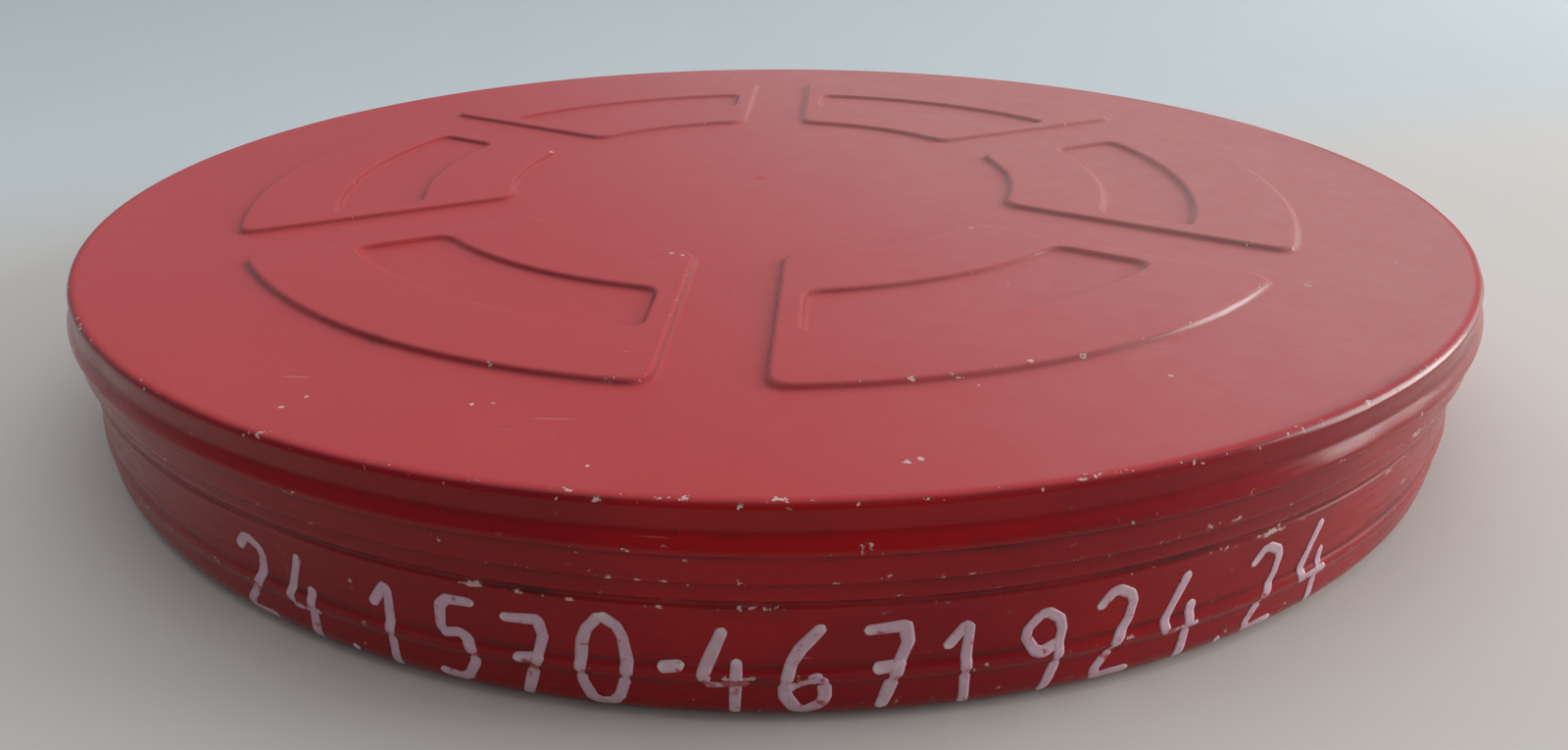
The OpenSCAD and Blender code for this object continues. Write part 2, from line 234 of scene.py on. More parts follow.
@dataclass(frozen=True)
class WornEnamel:
    """Stoving enamel sprayed on pressed steel and used for decades.

    Sound enamel on the wall is deep and glossy, with faint level streaks from wiping, and its deep red is
    partly painted shade. Where it looks up it is bleached, scuffed and dusty, so it turns satin and pinker,
    partly as painted light and painted sheen. It chips to a pale undercoat along pressed edges, with dull
    steel at the heart of larger chips, and dirt and rust darken a few places, with painted shade in creases.
    """

    name: str
    gloss: float = 0.2              # roughness where it is sound
    scuffed: float = 0.46           # roughness where it looks up
    specular: float = 0.23          # the lacquer has lost much of its shine
    ior: float = 1.5
    chip_mm: float = 1.5            # size of a flake at an edge
    patch_mm: float = 4.5           # size of the patches where flakes cluster
    chip_at: float = 0.672          # depth of wear at which the paint lets go
    nicks: tuple[Nick, ...] = ()

    def material(self) -> bpy.types.Material:
        """Builds the finish.

        Returns:
            The material.
        """
        s = Shader(self.name)
        add = s.add
        up = add(EASE, add(SPLIT, add(FACE).outputs["Normal"]).outputs["Z"], 0.68, 0.985)
        level = add(EASE, up, 0, 1, 1, 0)
        mottle = add(NOISE, s.where, 1 / (7 * MM), 4, 0.6)
        streaks = add(NOISE, add(STRETCH, s.where, (1, 1, 11)), 1 / (13 * MM), 4, 0.65)
        patches = add(NOISE, add(STRETCH, s.where, (1, 1, 1.8)), 1 / (self.patch_mm * MM), 3, 0.6)
        depth = self.depth_of_wear(s, patches)
        chip = add(EASE, depth, self.chip_at, self.chip_at + 0.018)

        paint = self.soiled(s, self.sound_paint(s, up, level, streaks), mottle)
        bleed = add(MULTIPLY, add(EASE, depth, 0.62, 0.675), add(EASE, patches, 0.5, 0.6, 0, 0.5))
        paint = add(BLEND, bleed, paint, linear(Tone.RUST))
        scratched = add(STRETCH, s.where, (0.05, 1, 1), (0, 0, math.radians(24)))
        hairline = add(EASE, add(NOISE, scratched, 1 / (1.5 * MM), 2), 0.73, 0.77, 0, 0.25)
        paint = add(BLEND, hairline, paint, linear(Tone.HAZE_AND_SHEEN))
        paint = add(BLEND, chip, paint, self.under_paint(s, depth, mottle))

        wiped = add(MULTIPLY, add(EASE, streaks, 0.3, 0.7, -0.05, 0.08), level)
        rough = add(ADD, add(EASE, up, 0, 1, self.gloss, self.scuffed), wiped)
        rough = add(ADD, rough, add(MULTIPLY, chip, 0.25), use_clamp=True)
        s.set(Base_Color=paint, Roughness=rough, IOR=self.ior, Specular_IOR_Level=self.specular)

        orange_peel = add(NOISE, s.where, 1 / (2.2 * MM), 1)
        drawn = add(NOISE, add(STRETCH, s.where, (1, 1, 14)), 1 / (12 * MM), 3)
        waves = add(NOISE, add(STRETCH, s.where, (1, 1, 2.5)), 1 / (34 * MM), 2)
        s.bump((orange_peel, 0.03, 0.3), (add(MULTIPLY, drawn, level), 0.02, 0.5),
               (waves, 0.7, 0.3), (add(SUBTRACT, 1.0, chip), 0.08, 0.5))
        return s.material

    def sound_paint(self, s: Shader, up: bpy.types.Node, level: bpy.types.Node,
                    streaks: bpy.types.Node) -> bpy.types.Node:
        """Deep red on the wall, darkened there as painted shade, lively in patches and flat in streaks, and
        bleached on top, paler there also as painted light.
        """
        add = s.add
        clouds = add(NOISE, s.where, 1 / (60 * MM), 3, 0.5)
        # painted shade on the walls and painted light on the top: the red grows paler as the face looks up
        paint = add(BLEND, up, linear(Tone.ENAMEL_DEEP_AND_SHADED), linear(Tone.ENAMEL_FADED_AND_LIT))
        lively = add(MULTIPLY, add(EASE, clouds, 0.5, 0.68, 0, 0.7), add(EASE, level, 0, 1, 0.12, 1))
        paint = add(BLEND, lively, paint, linear(Tone.ENAMEL_LIVELY))
        dull = add(MULTIPLY, add(EASE, streaks, 0.5, 0.72, 0, 0.28), level)
        return add(BLEND, dull, paint, linear(Tone.ENAMEL_DULL))

    def soiled(self, s: Shader, paint: bpy.types.Node, mottle: bpy.types.Node) -> bpy.types.Node:
        """The paint under a film of dust and painted sheen, with specks and pits, and dirt and painted shade
        in its corners.
        """
        add = s.add
        # a pale pink film of dust and painted sheen, which the lid's top carries more of towards the light
        dust = add(MARK, attribute_name="dust").outputs["Fac"]
        film = add(MULTIPLY, dust, add(EASE, mottle, 0.25, 0.75, 0.88, 1.1), use_clamp=True)
        paint = add(BLEND, film, paint, linear(Tone.HAZE_AND_SHEEN))
        pale_specks, dark_pits = (13.0, 0.42, 0.62, Tone.PRIMER), (8.5, 0.3, 0.5, Tone.GRIME_AND_SHADE)
        for cell_mm, radius_mm, least, tone in (pale_specks, dark_pits):
            dots = add(CELLS, s.where, 1 / (cell_mm * MM), 1.0)
            chance = add(SPLIT, dots.outputs["Color"]).outputs[0]
            reach = add(EASE, chance, least, 1, 0, radius_mm / cell_mm)
            inside = add(SUBTRACT, reach, dots.outputs["Distance"])
            paint = add(BLEND, add(EASE, inside, 0, 0.1 / cell_mm, 0, 0.8), paint, linear(tone))
        # painted shade and dirt: the paint turns dark red-brown in creases, in recesses and under the lid's
        # hem
        crease = add(MARK, attribute_name="crease").outputs["Fac"]
        painted_shade_and_grime = add(MULTIPLY, crease, add(EASE, mottle, 0.3, 0.7, 0.35, 1))
        return add(BLEND, painted_shade_and_grime, paint, linear(Tone.GRIME_AND_SHADE))

    def depth_of_wear(self, s: Shader, patches: bpy.types.Node) -> bpy.types.Node:
        """How deep the paint is worn: ragged flakes, deeper at worn edges and at the nicks."""
        add = s.add
        wear = add(MARK, attribute_name="wear").outputs["Fac"]
        for nick in self.nicks:
            wear = add(MAXIMUM, wear, add(MULTIPLY, s.near(nick.place(), nick.size), nick.strength))
        flakes = add(NOISE, s.where, 1 / (self.chip_mm * MM), 4, 0.65, 0.4)
        ragged = add(ADD, add(MULTIPLY, flakes, 0.6), add(MULTIPLY, patches, 0.4))
        return add(ADD, ragged, add(MULTIPLY, wear, 0.26))

    def under_paint(self, s: Shader, depth: bpy.types.Node, mottle: bpy.types.Node) -> bpy.types.Node:
        """What a chip lays bare: undercoat, and at the heart of the worst dull steel and rust."""
        add = s.add
        heart = add(MULTIPLY, add(EASE, depth, 0.72, 0.78), add(EASE, mottle, 0.42, 0.6))
        under = add(BLEND, heart, linear(Tone.PRIMER), linear(Tone.BARE))
        return add(BLEND, add(MULTIPLY, heart, add(EASE, mottle, 0.55, 0.7)), under, linear(Tone.RUST))


@dataclass(frozen=True)
class BrushedWhite:
    """Thin white lacquer put on with a brush.

    The red glows through its thin middle, so it looks lilac, it is whiter where it pooled at
    the ends, and it has rubbed off where the wall stands proud.
    """

    name: str
    ior: float = 1.48

    def material(self) -> bpy.types.Material:
        """Builds the finish and returns its material."""
        s = Shader(self.name)
        add = s.add
        streaks = add(NOISE, s.where, 1 / (1.6 * MM), 3, 0.6)
        rubbing = add(NOISE, s.where, 1 / (2.4 * MM), 5, 0.65)
        pool = add(MARK, attribute_name="pool").outputs["Fac"]
        pooled = add(ADD, pool, add(EASE, streaks, 0.45, 0.75, 0, 0.25), use_clamp=True)
        colour = add(BLEND, pooled, linear(Tone.BRUSHED_WHITE), linear(Tone.POOLED_WHITE))
        rubbed = add(MARK, attribute_name="wear").outputs["Fac"]
        worn = add(ADD, rubbing, add(MULTIPLY, rubbed, 0.12))
        colour = add(BLEND, add(EASE, worn, 0.6, 0.7, 0, 0.85), colour, linear(Tone.ENAMEL_LIVELY))
        s.set(Base_Color=colour, Roughness=add(EASE, streaks, 0.3, 0.7, 0.38, 0.55), IOR=self.ior)
        s.bump((streaks, 0.05, 0.5))
        return s.material


@dataclass(frozen=True)
class TinnedSteel:
    """Tinned sheet steel, spun and handled: bright rings, dull patches and fine scratches."""

    name: str
    bright: Tone = Tone.TIN
    dull: Tone = Tone.TIN_DULL
    ring_mm: float = 0.7            # spacing of the spinning marks

    def material(self) -> bpy.types.Material:
        """Builds the finish and returns its material."""
        s = Shader(self.name)
        add = s.add
        rings = add(RINGS, add(MULTIPLY, s.from_axis(), 1 / (self.ring_mm * MM)), 1.0, 3.0)
        patches = add(NOISE, s.where, 1 / (22 * MM), 5, 0.6, 0.3)
        scratched = add(STRETCH, s.where, (0.06, 1, 1), (0, 0, math.radians(12)))
        scratches = add(EASE, add(NOISE, scratched, 1 / (1.2 * MM), 2), 0.68, 0.74, 0, 0.4)
        colour = add(BLEND, add(EASE, patches, 0.38, 0.7, 0.05, 0.85), linear(self.bright),
                     linear(self.dull))
        colour = add(BLEND, scratches, colour, linear(Tone.TIN))
        rough = add(ADD, add(EASE, patches, 0.35, 0.7, 0.24, 0.44),
                    add(EASE, rings, 0.3, 0.7, -0.05, 0.06))
        s.set(Base_Color=colour, Roughness=rough, Metallic=1.0)
        s.bump((rings, 0.02, 0.35), (add(NOISE, s.where, 1 / (35 * MM), 2), 0.5, 0.2))
        return s.material


@dataclass(frozen=True)
class WoundFilm:
    """Acetate film wound flat: its edges make fine glossy rings, some proud of the others."""

    name: str
    wrap_mm: float = 0.9            # real wraps are 0.14 mm apart, too fine to show
    band_mm: float = 14.0           # width of the bands where the film's base shows brown
    ior: float = 1.48

    def material(self) -> bpy.types.Material:
        """Builds the finish and returns its material."""
        s = Shader(self.name)
        add = s.add
        radius = s.from_axis()
        wraps = add(RINGS, add(MULTIPLY, radius, 1 / (self.wrap_mm * MM)), 1.0, 4.0)
        bands = add(RINGS, add(MULTIPLY, radius, 1 / (self.band_mm * MM)), 1.0, 2.0)
        warm = add(MULTIPLY, add(EASE, bands, 0.35, 0.7), add(EASE, wraps, 0.3, 0.7, 0.3, 1))
        colour = add(BLEND, warm, linear(Tone.FILM_DARK), linear(Tone.FILM_WARM))
        s.set(Base_Color=colour, Roughness=add(EASE, wraps, 0.3, 0.7, 0.24, 0.42), IOR=self.ior)
        s.bump((wraps, 0.25, 0.6))
        return s.material


@dataclass(frozen=True)
class PlainStock:
    """A thin strip, such as leader or paper tape, with a soft stain and a fine grain."""

    name: str
    tone: Tone
    stain: Tone
    roughness: float
    ior: float = 1.48

    def material(self) -> bpy.types.Material:
        """Builds the finish and returns its material."""
        s = Shader(self.name)
        add = s.add
        stain = add(NOISE, s.where, 1 / (18 * MM), 4, 0.6)
        fibre = add(NOISE, add(STRETCH, s.where, (1, 1, 0.3)), 1 / (1.0 * MM), 3)
        colour = add(BLEND, add(EASE, stain, 0.45, 0.75, 0, 0.35), linear(self.tone), linear(self.stain))
        rough = add(EASE, fibre, 0.3, 0.7, self.roughness - 0.06, self.roughness + 0.08)
        s.set(Base_Color=colour, Roughness=rough, IOR=self.ior)
        s.bump((fibre, 0.03, 0.4))
        return s.material


@dataclass(frozen=True)
class SetCloth:
    """Pale woven cotton cloth under the can: dull all over, warmer underfoot and cooler behind."""

    name: str
    roughness: float = 0.9
    ior: float = 1.4
    lean: float = -0.33             # the line between floor and back runs slantwise across the set

    def material(self) -> bpy.types.Material:
        """Builds the finish and returns its material."""
        s = Shader(self.name)
        add = s.add
        x, y, z = add(SPLIT, s.where).outputs
        back = add(ADD, add(ADD, y, add(MULTIPLY, x, self.lean)), add(MULTIPLY, z, 1.5))
        colour = add(BLEND, add(EASE, back, 0.08, 0.3), linear(Tone.CLOTH), linear(Tone.WALL))
        weave = add(NOISE, s.where, 1 / (0.9 * MM), 2)
        folded = add(STRETCH, s.where, (1, 0.5, 1), (0, 0, math.radians(20)))
        folds = add(NOISE, folded, 1 / (130 * MM), 2, 0.4)
        s.set(Base_Color=colour, Roughness=self.roughness, IOR=self.ior)
        s.bump((weave, 0.08, 0.3), (folds, 6.0, 0.25))
        return s.material


# radius and height in mm, wear, and painted shade with grime in creases, of each point along a pressing's
# section
Section = list[tuple[float, float, float, float]]


def smooth_step(value: np.ndarray) -> np.ndarray:
    """Eases 0..1 in and out, held at the ends."""
    held = np.clip(value, 0, 1)
    return held * held * (3 - 2 * held)


def bell(distance: np.ndarray, width: float) -> np.ndarray:
    """1 at no distance, falling smoothly to about 0 at twice the width."""
    return np.exp(-(distance / width) ** 2)


def arc_from(place: float, angle: np.ndarray, radius: float) -> np.ndarray:
    """Arc length from a place to each angle, both in degrees round the axis."""
    return np.radians((angle - place + 180) % 360 - 180) * radius


@dataclass(frozen=True)
class Dent:
    """A knock in a sheet, on a face at a place given round the axis."""

    angle: float                    # degrees round the axis
    level: float                    # radius on the flat, or height on the wall, mm
    across: float                   # radius of the dent, mm
    depth: float                    # mm

    def wall_push(self, angle: np.ndarray, radius: float, height: np.ndarray) -> np.ndarray:
        """How far the wall is pushed in at each angle (degrees) and height."""
        arc = arc_from(self.angle, angle, radius)
        return self.depth * bell(np.hypot(arc, height - self.level), self.across)

    def flat_push(self, x: np.ndarray, y: np.ndarray) -> np.ndarray:
        """How far the flat is pushed down at each place."""
        cx, cy = polar(self.level, self.angle)
        return self.depth * bell(np.hypot(x - cx, y - cy), self.across)


@dataclass(frozen=True)
class Scuff:
    """A worn or dirty stretch of a sheet.

    Its level is a height on the wall and, past the top edge, goes on inwards over the flat.
    """

    angle: float                    # degrees round the axis
    level: float                    # mm
    along: float                    # reach round the axis, mm
    across: float                   # reach up and down, mm
    strength: float = 1.0

    def mark(self, angle: np.ndarray, level: Any, radius: float) -> np.ndarray:
        """How much of it there is at each angle (degrees) and level."""
        arc = arc_from(self.angle, angle, radius)
        return self.strength * bell(np.hypot(arc / self.along, (level - self.level) / self.across), 1)


def add_marks(mesh: bpy.types.Mesh, marks: dict[str, Any]) -> None:
    """Stores a number at each point of a mesh under each label."""
    for label, values in marks.items():
        mesh.attributes.new(label, "FLOAT", "POINT").data.foreach_set("value", values)


@dataclass
class Surface:
    """A mesh under construction as rings of points round the axis, in mm."""

    rings: list[np.ndarray] = field(default_factory=list)
    marks: dict[str, list[np.ndarray]] = field(
        default_factory=lambda: {"wear": [], "crease": [], "dust": []})

    def add(self, x: np.ndarray, y: np.ndarray, z: Any, **marks: Any) -> None:
        """Adds one ring of points, with how worn, how darkened by painted shade and grime, and how dusty or
        painted with sheen each is.
        """
        self.rings.append(np.stack([x, y, z + 0 * x], axis=1))
        for label, values in self.marks.items():
            values.append(marks.get(label, 0) + 0 * x)

    def piece(self, name: str) -> bpy.types.Object:
        """Joins the rings to one closed mesh, whose ends close to a point at their centre.

        Args:
            name: the piece's name.

        Returns:
            The piece.
        """
        rows, cols = len(self.rings), len(self.rings[0])
        ends = [self.rings[0].mean(axis=0), self.rings[-1].mean(axis=0)]
        points = np.concatenate(self.rings + [np.array(ends)])
        here = np.arange(cols)
        after = (here + 1) % cols
        faces: list[list[int]] = []
        for row in range(rows - 1):
            a, b = row * cols, (row + 1) * cols
            faces += np.stack([a + here, b + here, b + after, a + after], axis=1).tolist()
        first, last, end_row = rows * cols, rows * cols + 1, (rows - 1) * cols
        for i, j in zip(here.tolist(), after.tolist()):
            faces += [[first, i, j], [last, end_row + j, end_row + i]]
        mesh = bpy.data.meshes.new(name)
        mesh.from_pydata((points * MM).tolist(), [], faces)
        add_marks(mesh, {label: np.concatenate(values + [np.zeros(2)]).astype(np.float32)
                         for label, values in self.marks.items()})
        return add_object(name, mesh)


def link_object(name: str, data: Any) -> bpy.types.Object:
    """Makes an object of a mesh, a lamp or a camera, and puts it in the scene."""
    thing = bpy.data.objects.new(name, data)
    bpy.context.scene.collection.objects.link(thing)
    return thing


def add_object(name: str, mesh: bpy.types.Mesh) -> bpy.types.Object:
    """Puts a mesh in the scene with its normals outwards and its faces smooth.

    Args:
        name: the object's name.
        mesh: its mesh, in metres and in place.

    Returns:
        The object.
    """
    work = bmesh.new()
    work.from_mesh(mesh)
    bmesh.ops.recalc_face_normals(work, faces=work.faces)
    for face in work.faces:
        face.smooth = True
    work.to_mesh(mesh)
    work.free()
    return link_object(name, mesh)


def finish_piece(piece: bpy.types.Object, material: bpy.types.Material, body: str,
                 nodes: Sequence[str] = ()) -> None:
    """Dresses a piece, hangs it on its body and hides the solids that it replaces.

    Args:
        piece: the piece.
        material: its finish.
        body: the body that it moves with.
        nodes: the solids that it replaces.
    """
    piece.data.materials.clear()
    piece.data.materials.append(material)
    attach(piece, body)
    if nodes:
        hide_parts(*nodes)
    LOG.info("%s: %d faces, on %s", piece.name, len(piece.data.polygons), body)


@dataclass
class Pressing:
    """A painted pressing of sheet metal, with its knocks and the marks of its use."""

    knocks: tuple[Dent, ...] = ()
    scuffs: tuple[Scuff, ...] = ()
    smudges: tuple[Scuff, ...] = ()
    nicks: tuple[Nick, ...] = ()

    def push(self, angle: np.ndarray, r: float, z: float) -> np.ndarray:
        """How far the knocks push the wall in at each angle (degrees)."""
        return sum(d.wall_push(angle, r, z + 0 * angle) for d in self.knocks)

    def used(self, wear: Any, crease: Any, angle: np.ndarray, level: float,
             r: float) -> tuple[np.ndarray, np.ndarray]:
        """Wear, and painted shade with grime, at each angle (degrees), with the scuffs and the smudges on
        them.
        """
        worn = np.maximum(wear, sum(s.mark(angle, level, r) for s in self.scuffs))
        return worn, crease + sum(s.mark(angle, level, r) for s in self.smudges)


@dataclass
class CanLid(Pressing):
    """The lid: a shallow pressing with a stepped skirt, six raised panels and sunk bars."""

    flat_z: float = 45.0            # height of the flat above the floor
    sheet: float = 0.6
    neck_r: float = 190.9           # outer radius of the neck under the top edge
    edge_r: float = 1.6             # rounding of the top edge
    neck_h: float = 5.4
    bulge_r: float = 192.5          # widest radius, at the foot of the step below the neck
    skirt_r: float = 191.6
    skirt_h: float = 15.0
    panels: int = 6
    panel_in: float = 75.5
    panel_out: float = 151.0
    spoke_half: float = 10.8        # half width of the flat between two panels
    panel_corner: float = 5.0
    rise: float = 1.3               # how far the panels stand up
    slope: float = 1.7              # width of the slope round a panel
    bar_in: float = 102.0
    bar_out: float = 125.5
    bar_margin: float = 6.2         # between the bar's end and the panel's side
    bar_corner: float = 4.0
    dust_least: float = 0.06        # share of dust and painted sheen at the front left of the flat, away from the light
    dust_most: float = 0.46         # share of dust and painted sheen at the right and back of the flat, towards the light
    warp: float = 0.1               # how far the flat has warped, mm
    warp_angle: float = 40.0        # degrees
    first_fan: float = 62.0         # within this radius the columns keep the angles they have at it
    middle_columns: int = 20        # points across a panel, with both of its sides' last ones
    knocks: tuple[Dent, ...] = (
        Dent(338, 41.5, 5, 0.3), Dent(352, 42, 4, 0.25), Dent(228, 40, 6, 0.2),
        Dent(312, 34, 9, 0.4), Dent(262, 34, 7, 0.3), Dent(20, 34, 10, 0.5),
        Dent(95, 41, 6, 0.3), Dent(170, 35, 8, 0.4))
    hollows: tuple[Dent, ...] = (
        Dent(262, 172, 14, 0.3), Dent(318, 172, 20, 0.35), Dent(200, 168, 22, 0.3),
        Dent(120, 30, 40, 0.3), Dent(15, 170, 16, 0.35), Dent(80, 172, 18, 0.3),
        Dent(285, 55, 18, 0.2), Dent(238, 168, 16, 0.3))
    scuffs: tuple[Scuff, ...] = (
        Scuff(246.7, 45.6, 4, 1.0, 0.75), Scuff(249.5, 45.4, 3, 0.7, 0.6), Scuff(254.5, 45.3, 5, 0.7, 0.5),
        Scuff(259, 45.2, 4, 0.7, 0.45), Scuff(264.6, 45.6, 4, 0.9, 0.95), Scuff(267.2, 45.5, 5, 0.8, 0.85),
        Scuff(269.8, 45.3, 4, 0.7, 0.7), Scuff(274.8, 45.2, 2.5, 0.8, 0.75),
        Scuff(279.8, 45.6, 1.8, 1.2, 1.1), Scuff(284, 45.2, 3, 0.6, 0.5), Scuff(291.3, 45.3, 1.2, 0.8, 0.9),
        Scuff(297, 45.8, 7, 0.9, 0.6), Scuff(304, 46.0, 9, 1.2, 0.75), Scuff(310.5, 46.2, 8, 1.3, 0.85),
        Scuff(317, 46.0, 9, 1.1, 0.7), Scuff(326, 45.6, 8, 0.8, 0.55), Scuff(232, 45.2, 12, 0.8, 0.45),
        Scuff(222, 45.0, 10, 1.0, 0.6), Scuff(30, 45.4, 9, 1.0, 0.7), Scuff(62, 45.4, 6, 0.9, 0.7),
        Scuff(101, 45.5, 10, 1.0, 0.75), Scuff(148, 45.3, 8, 0.9, 0.65), Scuff(185, 45.4, 9, 1.0, 0.7),
        Scuff(300, 31.1, 10, 0.6, 0.5), Scuff(316, 31.1, 12, 0.6, 0.6), Scuff(70, 31.1, 14, 0.6, 0.6),
        Scuff(140, 31.1, 10, 0.6, 0.6), Scuff(330, 38.2, 14, 0.7, 0.35))
    smudges: tuple[Scuff, ...] = (
        Scuff(286.3, 34.8, 4, 1.1, 0.5), Scuff(289.5, 36.8, 9, 0.7, 0.4), Scuff(306, 46.5, 16, 1.6, 0.45),
        Scuff(314, 46.5, 12, 1.6, 0.5), Scuff(241.2, 84.8, 3, 1.4, 0.4), Scuff(279.8, 44.6, 2, 1, 0.7),
        Scuff(224, 42.5, 8, 2, 0.4), Scuff(120, 43, 12, 2, 0.3), Scuff(10, 47, 20, 2, 0.3))
    nicks: tuple[Nick, ...] = (
        Nick(255.1, 165.5, 45, 1.5), Nick(256.3, 163.6, 45, 1.1, 0.95), Nick(281.6, 179.1, 45, 1.8),
        Nick(282.4, 178.6, 45, 1.3, 0.9), Nick(264.8, 181.5, 45, 1.0, 0.9), Nick(244.8, 176.1, 45, 1.6, 0.8),
        Nick(244.6, 180.7, 45, 1.4, 0.8), Nick(259.9, 79.4, 46.3, 1.7, 1.1), Nick(257.6, 78.8, 46.3, 1.4),
        Nick(318.4, 78.9, 46.3, 1.5), Nick(302.5, 80.0, 46.3, 1.5, 0.95), Nick(284.7, 150.6, 46, 1.7),
        Nick(294.3, 149.8, 46.2, 1.8), Nick(298.8, 150.9, 46, 1.6), Nick(326.5, 157.7, 45, 1.5, 0.95),
        Nick(160.9, 76.4, 46.2, 1.6), Nick(348.8, 108, 45.8, 1.7, 0.95), Nick(302.3, 164, 45, 1.4, 0.9),
        Nick(40, 150, 46.1, 2), Nick(98, 168, 45, 2), Nick(141, 110, 46.3, 1.6))

    def panel_distance(self, r: np.ndarray, angle: np.ndarray, inner: float, outer: float,
                       side: float, corner: float) -> np.ndarray:
        """Distance from a rounded sector's outline, below 0 inside it.

        Args:
            r: radius of each point, mm.
            angle: angle of each point, degrees; sectors are centred on multiples of 60.
            inner: inner radius of the sector.
            outer: outer radius of the sector.
            side: distance of the sector's side from the spoke's centre line.
            corner: rounding of the sector's corners.

        Returns:
            The distance at each point, mm.
        """
        span = 360 / self.panels
        local = np.abs((angle + span / 2) % span - span / 2)
        across = r * np.sin(np.radians(span / 2 - local))
        a = side - across + corner
        b = np.maximum(r - outer, inner - r) + corner
        return np.hypot(np.maximum(a, 0), np.maximum(b, 0)) + np.minimum(np.maximum(a, b), 0) - corner

    def relief(self, r: np.ndarray, angle: np.ndarray) -> tuple[np.ndarray, np.ndarray, np.ndarray]:
        """Height of the pressing above the flat, with its worn places and its painted shade and grime where
        slopes meet the flat.

        Args:
            r: radius of each point, mm.
            angle: angle of each point, degrees.

        Returns:
            Height, wear, and painted shade with grime, at each point.
        """
        panel = self.panel_distance(r, angle, self.panel_in, self.panel_out, self.spoke_half,
                                    self.panel_corner)
        bar = self.panel_distance(r, angle, self.bar_in, self.bar_out,
                                  self.spoke_half + self.bar_margin, self.bar_corner)
        up = smooth_step(0.5 - panel / self.slope)
        down = smooth_step(0.5 - bar / self.slope)
        height = self.rise * (up - down)
        reach = self.slope / 3
        wear = 0.22 * bell(panel + reach, 0.9) + 0.12 * bell(bar - reach, 0.8)
        # painted shade and grime at the foot of each panel's slope and at the bottom of each sunk bar
        crease = 0.08 * bell(panel - reach, 0.7) + 0.05 * bell(bar + reach, 0.6)
        return height, wear, crease

    def columns(self, r: float) -> np.ndarray:
        """Angles of the points round a ring, in degrees, which follow the spokes' sides."""
        side, end = self.spoke_half, self.spoke_half + self.bar_margin
        over_side = (-1.4, -0.9, -0.4, 0, 0.4, 0.9, 1.5, 2.3, 3.4)
        over_end = (-1.4, -0.8, -0.4, 0, 0.4, 0.8, 1.4, 2.3, 3.6)
        offsets = [0, 4, 7.5] + [side + d for d in over_side] + [end + d for d in over_end]
        span = 360 / self.panels
        held = max(r, self.first_fan)
        near = np.degrees(np.arcsin(np.array(offsets) / held))
        middle = np.linspace(near[-1], span - near[-1], self.middle_columns)[1:-1]
        one = np.concatenate([near, middle, span - near[:0:-1]])
        starts = np.arange(self.panels) * span - span / 2
        return (starts[:, None] + one[None, :]).ravel()

    def flat_radii(self) -> list[float]:
        """Radii of the rings on the flat, close together where the pressing bends."""
        radii = [3, 12, 24, 36, 48, 58, 66, 71]
        over_edge = (-1.5, -0.9, -0.4, 0, 0.4, 0.9, 1.5, 2.3, 3.3, 4.6)
        edges = (self.panel_in, 1), (self.bar_in, 1), (self.bar_out, -1), (self.panel_out, -1)
        for edge, inward in edges:
            radii += [edge + inward * d for d in over_edge]
        radii += [85, 91, 97, 111, 117, 131, 137, 142, 155, 160, 166, 172, 178, 183, 186.5, 188.4]
        return sorted(radii)

    def skirt_line(self) -> Section:
        """Radius, height, wear, and painted shade with grime, down the outside, round the hem and up inside.
        """
        z, r, s, wide = self.flat_z, self.neck_r, self.skirt_r, self.bulge_r
        centre = r - self.edge_r, z - self.edge_r
        line = [(*polar(self.edge_r, a, centre), 0.3 if 20 < a < 80 else 0.1, 0.35 if 30 < a < 60 else 0.1)
                for a in (84, 70, 56, 42, 28, 14, 0)]
        foot, hem = z - self.neck_h, z - self.skirt_h
        line += [(r, z - 2.4, 0, 0.1), (r, foot + 1.4, 0, 0.05), (r + 0.05, foot + 0.7, 0, 0.2),
                 (r + 0.16, foot + 0.2, 0, 0.3), (r + 0.45, foot - 0.4, 0, 0.2),
                 (r + 0.76, foot - 1.0, 0, 0), (r + 1.08, foot - 1.7, 0.05, 0),
                 (wide - 0.24, foot - 2.3, 0.15, 0), (wide - 0.06, foot - 2.8, 0.2, 0),
                 (wide, foot - 3.2, 0.2, 0), (wide - 0.08, foot - 3.5, 0.1, 0),
                 (wide - 0.35, foot - 3.75, 0, 0.1), (wide - 0.7, foot - 3.9, 0, 0.4),
                 (s - 0.02, foot - 4.0, 0, 0.8), (s - 0.04, foot - 4.3, 0, 0.6), (s, foot - 4.8, 0.05, 0.1),
                 (s, foot - 5.4, 0.05, 0), (s - 0.04, hem + 2.4, 0, 0),
                 (s - 0.05, hem + 1.2, 0.1, 0), (s - 0.06, hem + 0.5, 0.3, 0),
                 (s - 0.16, hem + 0.12, 0.35, 0),
                 (s - 0.4, hem, 0.2, 0.2), (s - 0.62, hem + 0.15, 0, 0.5), (s - 0.68, hem + 0.6, 0, 0.5),
                 (s - 0.62, hem + 1.6, 0, 0.3), (s - 0.6, foot - 4.6, 0, 0), (wide - 0.7, foot - 3.2, 0, 0),
                 (wide - 0.85, foot - 2.3, 0, 0), (r + 0.45, foot - 1.7, 0, 0),
                 (r + 0.12, foot - 1.0, 0, 0), (r - 0.2, foot - 0.4, 0, 0),
                 (r - self.sheet, foot + 1, 0, 0), (r - self.sheet, z - 2.2, 0, 0.3),
                 (r - self.sheet - 0.5, z - 1, 0, 0.4)]
        return line

    def build(self) -> bpy.types.Object:
        """Makes the lid's mesh.

        Returns:
            The lid.
        """
        surface = Surface()
        radii = self.flat_radii()
        for r in radii:
            self.add_flat_ring(surface, r)
        for r, z, wear, crease in self.skirt_line():
            self.add_wall_ring(surface, r, z, wear, crease)
        for r in reversed(radii):
            self.add_flat_ring(surface, r, under=True)
        return surface.piece("can_lid_pressing")

